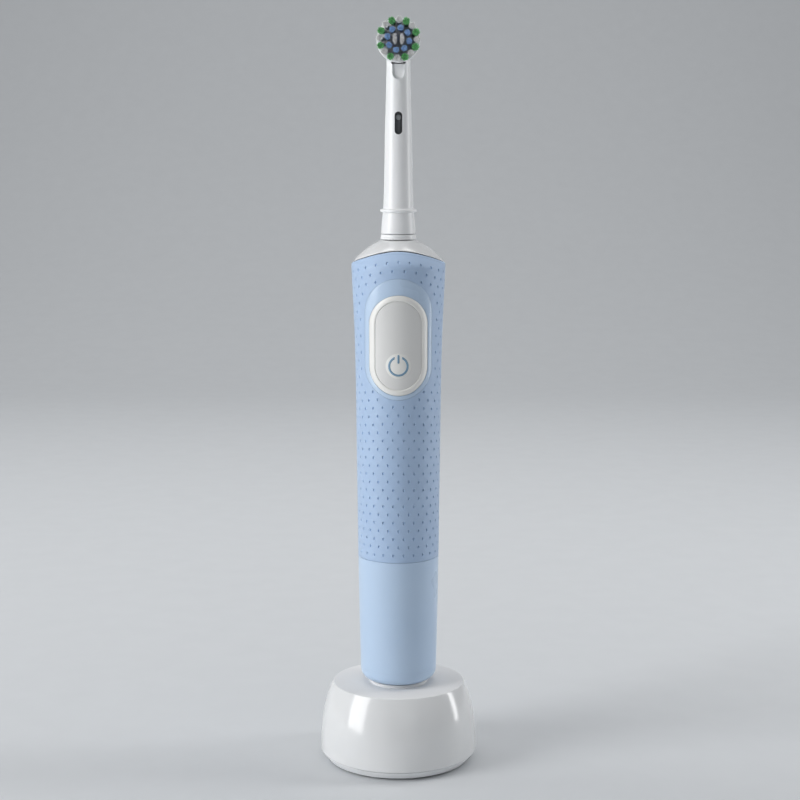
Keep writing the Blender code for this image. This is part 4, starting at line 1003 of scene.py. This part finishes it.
def nylon(name, tip, middle, root):
    """Dyed nylon: the colour is painted darker from the tip to the root as painted shade, and
    strands differ a little.
    """
    material, tree, shader = new_material(name, 0.36, 1.53, glow=0.08)
    place = add_node(tree, "ShaderNodeTexCoord")
    along = add_node(tree, "ShaderNodeSeparateXYZ", {"Vector": place.outputs["Object"]})
    share = add_node(tree, "ShaderNodeMapRange", {"Value": along.outputs["Y"]},
                     {"From Min": plate_front * mm,
                      "From Max": (plate_front - bristle_length) * mm})
    # The ramp runs from the dye's colour at the tip to painted shade at the root, where
    # neighbouring strands shade each other.
    dye_and_root_shade_ramp = add_node(tree, "ShaderNodeValToRGB", {"Fac": share.outputs["Result"]})
    dye_and_root_shade_ramp.color_ramp.elements[0].color = linear(root)
    dye_and_root_shade_ramp.color_ramp.elements[1].color = linear(tip)
    dye_and_root_shade_ramp.color_ramp.elements.new(0.72).color = linear(middle)
    spread = add_node(tree, "ShaderNodeMapping", {"Vector": place.outputs["Object"]},
                      {"Scale": (1.0, 0.02, 1.0)})
    noise = add_node(tree, "ShaderNodeTexNoise", {"Vector": spread.outputs["Vector"]},
                     {"Scale": 1 / (0.25 * mm), "Detail": 1.0})
    value = add_node(tree, "ShaderNodeMapRange", {"Value": noise.outputs["Fac"]},
                     {"To Min": 0.82, "To Max": 1.12})
    shade = add_node(tree, "ShaderNodeHueSaturation",
                     {"Color": dye_and_root_shade_ramp.outputs["Color"], "Value": value.outputs["Result"]})
    tree.links.new(shade.outputs["Color"], shader.inputs["Base Color"])
    return material


# The last colour of each nylon, at the root, is painted shade: far darker than the dye, where the
# strands shade each other.
green_nylon = nylon("nylon_drawn_green", "#82D88B", "#4DB05D", "#18622B")
white_nylon = nylon("nylon_drawn_white", "#FFFFFF", "#F3F5F6", "#B0B7BB")
blue_nylon = nylon("nylon_drawn_blue", "#A0C9FA", "#6997E2", "#2A5299")

start_clean()
bpy.ops.mesh.primitive_cylinder_add(vertices=6, radius=0.125 * mm,
                                    depth=(bristle_length - 0.1) * mm,
                                    rotation=(math.radians(90), 0, 0))
strand = bpy.context.object
bpy.ops.object.transform_apply(rotation=True)
bpy.ops.object.mode_set(mode="EDIT")
pick(strand, "faces", lambda face: face.normal.y < -0.9)
bpy.ops.mesh.extrude_region_move(TRANSFORM_OT_translate={"value": (0, -0.1 * mm, 0)})
bpy.ops.transform.resize(value=(0.5, 1, 0.5))
bpy.ops.mesh.select_all(action="SELECT")
bpy.ops.transform.translate(value=(0, (plate_front - (bristle_length - 0.1) / 2) * mm, 0))
bpy.ops.object.mode_set(mode="OBJECT")
bpy.ops.object.shade_smooth()
print("one strand:", len(strand.data.polygons), "faces")

# %% [markdown]
# A tuft spreads from a tight root to a wider tip. The strands are laid in a sunflower
# pattern, each one leaning from its place at the root to its place at the tip.

# %% Tufts
random.seed(7)


def one_tuft(count, root, tip, lean, bow=0.0):
    """A tuft at the origin: half sizes (across, outwards) at root and tip, in mm."""
    strands = []
    for number in range(count):
        size = math.sqrt((number + 0.5) / count)
        angle = number * 2.39996
        across, outward = size * math.cos(angle), size * math.sin(angle)
        shift = random.uniform(-0.06, 0.06)
        cut = random.uniform(0.965, 1.0)
        copy = own_copy(strand)

        def lay(co, across=across, outward=outward, shift=shift, cut=cut):
            share = (plate_front - co.y / mm) / bristle_length
            x = across * (root[0] + (tip[0] - root[0]) * share) + (lean[0] + shift) * share
            x += bow * (1 - outward ** 2) * share
            z = outward * (root[1] + (tip[1] - root[1]) * share) + (lean[1] + shift) * share
            y = plate_front + 0.25 - (share * bristle_length * cut + 0.25)
            return Vector((co.x + x * mm, y * mm, co.z + z * mm))

        place_vertices(copy, lay)
        strands.append(copy)
    return join_all(strands)


def ring_of_tufts(name, tuft, count, start, radius, material):
    """Copies of a tuft round the disc; the angle runs clockwise from the top."""
    copies = []
    for number in range(count):
        clockwise = math.radians(start + 360 * number / count)
        copy = own_copy(tuft)
        copy.data.transform(
            Matrix.Translation(disc_place) @ Matrix.Rotation(clockwise, 4, "Y")
            @ Matrix.Translation((0, 0, radius * mm)))
        copies.append(copy)
    bpy.data.objects.remove(tuft, do_unlink=True)
    obj = join_all(copies)
    obj.name = name
    obj.data.materials.clear()
    obj.data.materials.append(material)
    return obj


green = ring_of_tufts("green_bristles", one_tuft(50, (0.65, 0.65), (1.12, 1.12), (-0.42, 0.55)),
                      8, -20.5 + 4, 5.25, green_nylon)
give(green, "carrier", "green_bristle", "green_tufts")
white = ring_of_tufts("white_bristles", one_tuft(50, (0.65, 0.65), (1.02, 1.08), (0.0, 0.55)),
                      8, 3, 5.25, white_nylon)
give(white, "carrier", "white_bristle", "white_tufts")
blue = ring_of_tufts("blue_bristles", one_tuft(42, (0.65, 0.6), (1.0, 0.84), (0.0, 0.08)),
                     8, 12, 3.3, blue_nylon)
give(blue, "carrier", "blue_bristle", "blue_tufts")
pair = [one_tuft(50, (0.5, 1.25), (0.66, 1.68), (0.05, 0.0), bow)
        for bow in (0.16, -0.16)]
for side, half_pair in zip((1, -1), pair):
    half_pair.data.transform(Matrix.Translation((side * 0.98 * mm, 0, 0)))
middle = join_all(pair)
middle = ring_of_tufts("centre_bristles", middle, 1, 0, 0.0, white_nylon)
give(middle, "carrier", "white_bristle", "centre_tufts")
bpy.data.objects.remove(strand, do_unlink=True)

# %% [markdown]
# ## Link, pin and shaft
# Through the neck's small window one sees the dark link that turns the disc, with a pale
# round pin in it. The steel shaft under it shows when the head is pulled off.

# %% Drive link, pin and shaft
link = turn("head_link", [
    (2.1, z0 + 10.4, 0), (2.6, z0 + 10.4, 0.2), (2.6, z0 + 17.6, 0.4), (1.3, z0 + 19, 0.5),
    (1.3, z0 + 31.0, 0.3), (1.9, z0 + 31.8, 0.3), (1.9, z0 + 40.4, 0.3), (1.3, z0 + 41.2, 0.3),
    (1.3, zc - 5.1, 0.2), (0, zc - 5.1, 0), (0, z0 + 16.4, 0), (2.1, z0 + 16.4, 0.2),
    (2.1, z0 + 10.4, 0)], pom_dark, 64)
cut_with(link, block_tool((0, -1.55, zc - 5.85), (1.2, 3.75, 1.4)), "UNION")
cut_with(link, rod_tool(0.45, 3.6, (0, -2.9, zc - 4.1)), "UNION")
finish_mesh(link, "head_link", pom_dark)
give(link, "link", "dark", "drive_link")
pin = turn("window_pin", [(0, -1.0, 0), (0.85, -1.0, 0), (0.85, -2.35, 0.2), (0, -2.42, 0)],
           pin_grey, 48, (0, 0, (z0 + 37.9) * mm), (0, 1, 0))
give(pin, "link", "acetal", "link_pivot_pin")


def metal(name, light, dark, roughness, grain_mm, height_mm, stretch=(1, 1, 1)):
    """Bare metal: tone and relief vary along the marks its making left."""
    material, tree, shader = new_material(name, roughness, metallic=1.0)
    noise = grain_bump(tree, shader, grain_mm, height_mm, stretch=stretch)[1]
    tone = add_node(tree, "ShaderNodeMix", {"Factor": noise.outputs["Fac"]}, data_type="RGBA")
    tone.inputs[6].default_value = linear(light)
    tone.inputs[7].default_value = linear(dark)
    tree.links.new(tone.outputs[2], shader.inputs["Base Color"])
    return material


steel = metal("steel_turned_bright", "#D2D3D4", "#B4B6B8", 0.24, 0.25, 0.002, (0.2, 0.2, 4))
nickel = metal("steel_nickel_plated", "#CFCDC8", "#B9B7B1", 0.30, 0.6, 0.002)
bronze = metal("bronze_sintered", "#A9814C", "#8A6538", 0.45, 0.12, 0.008)
copper = metal("copper_enamelled_wire", "#C4703A", "#8F4A22", 0.30, 0.28, 0.06, (0.05, 0.05, 1))
ferrite = moulded("ferrite_pressed", "#3A3A3C", "#2B2B2D", 0.6, 1.7, 0.3, 0.01)
board_green = moulded("fr4_solder_mask_green", "#1F6B3A", "#17552D", 0.35, 1.55, 0.8, 0.004)
cell_blue = moulded("pvc_shrink_sleeve_blue", "#1F4E78", "#1A4369", 0.3, 1.53, 2.0, 0.006)
dark_abs = moulded("abs_moulded_black", "#26282A", "#1D1F20", 0.42, 1.53, 0.25, 0.003)
seal_rubber = moulded("nbr_moulded_grey", "#5B5E60", "#4C4F51", 0.75, 1.52, 0.2, 0.006)

shaft = turn("steel_shaft", [(0, 144.1, 0), (1.5, 144.1, 0.2), (1.5, 180.5, 0.1),
                             (1.42, 180.6, 0), (1.42, 181.4, 0), (1.5, 181.5, 0.1),
                             (1.5, 186.3, 0.4), (0, 186.3, 0)], steel, 64)
give(shaft, "shaft", "steel", "drive_shaft")

# %% [markdown]
# ## Parts that stay inside
# The engineering model already has the battery, the coils, the motor and its gears at their
# real size. They keep their shape and get the finish of what they are made of.

# %% Finishes of the inner parts
inner_finishes = {
    nickel: ["base_screw_1", "base_screw_2", "base_screw_3", "battery_contact",
             "battery_spring", "motor_can"],
    steel: ["carrier_axle", "motor_shaft", "gear_axle", "shaft_clip"],
    bronze: ["motor_pinion", "shaft_bearing_lower", "shaft_bearing_upper"],
    copper: ["charger_coil", "charging_coil"],
    ferrite: ["ferrite_core"],
    board_green: ["charger_circuit_board", "handle_circuit_board"],
    cell_blue: ["battery"],
    dark_abs: ["charger_capacitor", "switch_body"],
    pom_natural: ["coil_bobbin", "crank_gear", "rocker_arm", "switch_plunger"],
    seal_rubber: ["bottom_cap_seal", "shaft_seal"],
    white_matt: ["chassis"],
}
for finish, names in inner_finishes.items():
    for node_name in names:
        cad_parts[node_name].data.materials.clear()
        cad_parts[node_name].data.materials.append(finish)
print("inner parts:", sum(len(names) for names in inner_finishes.values()))
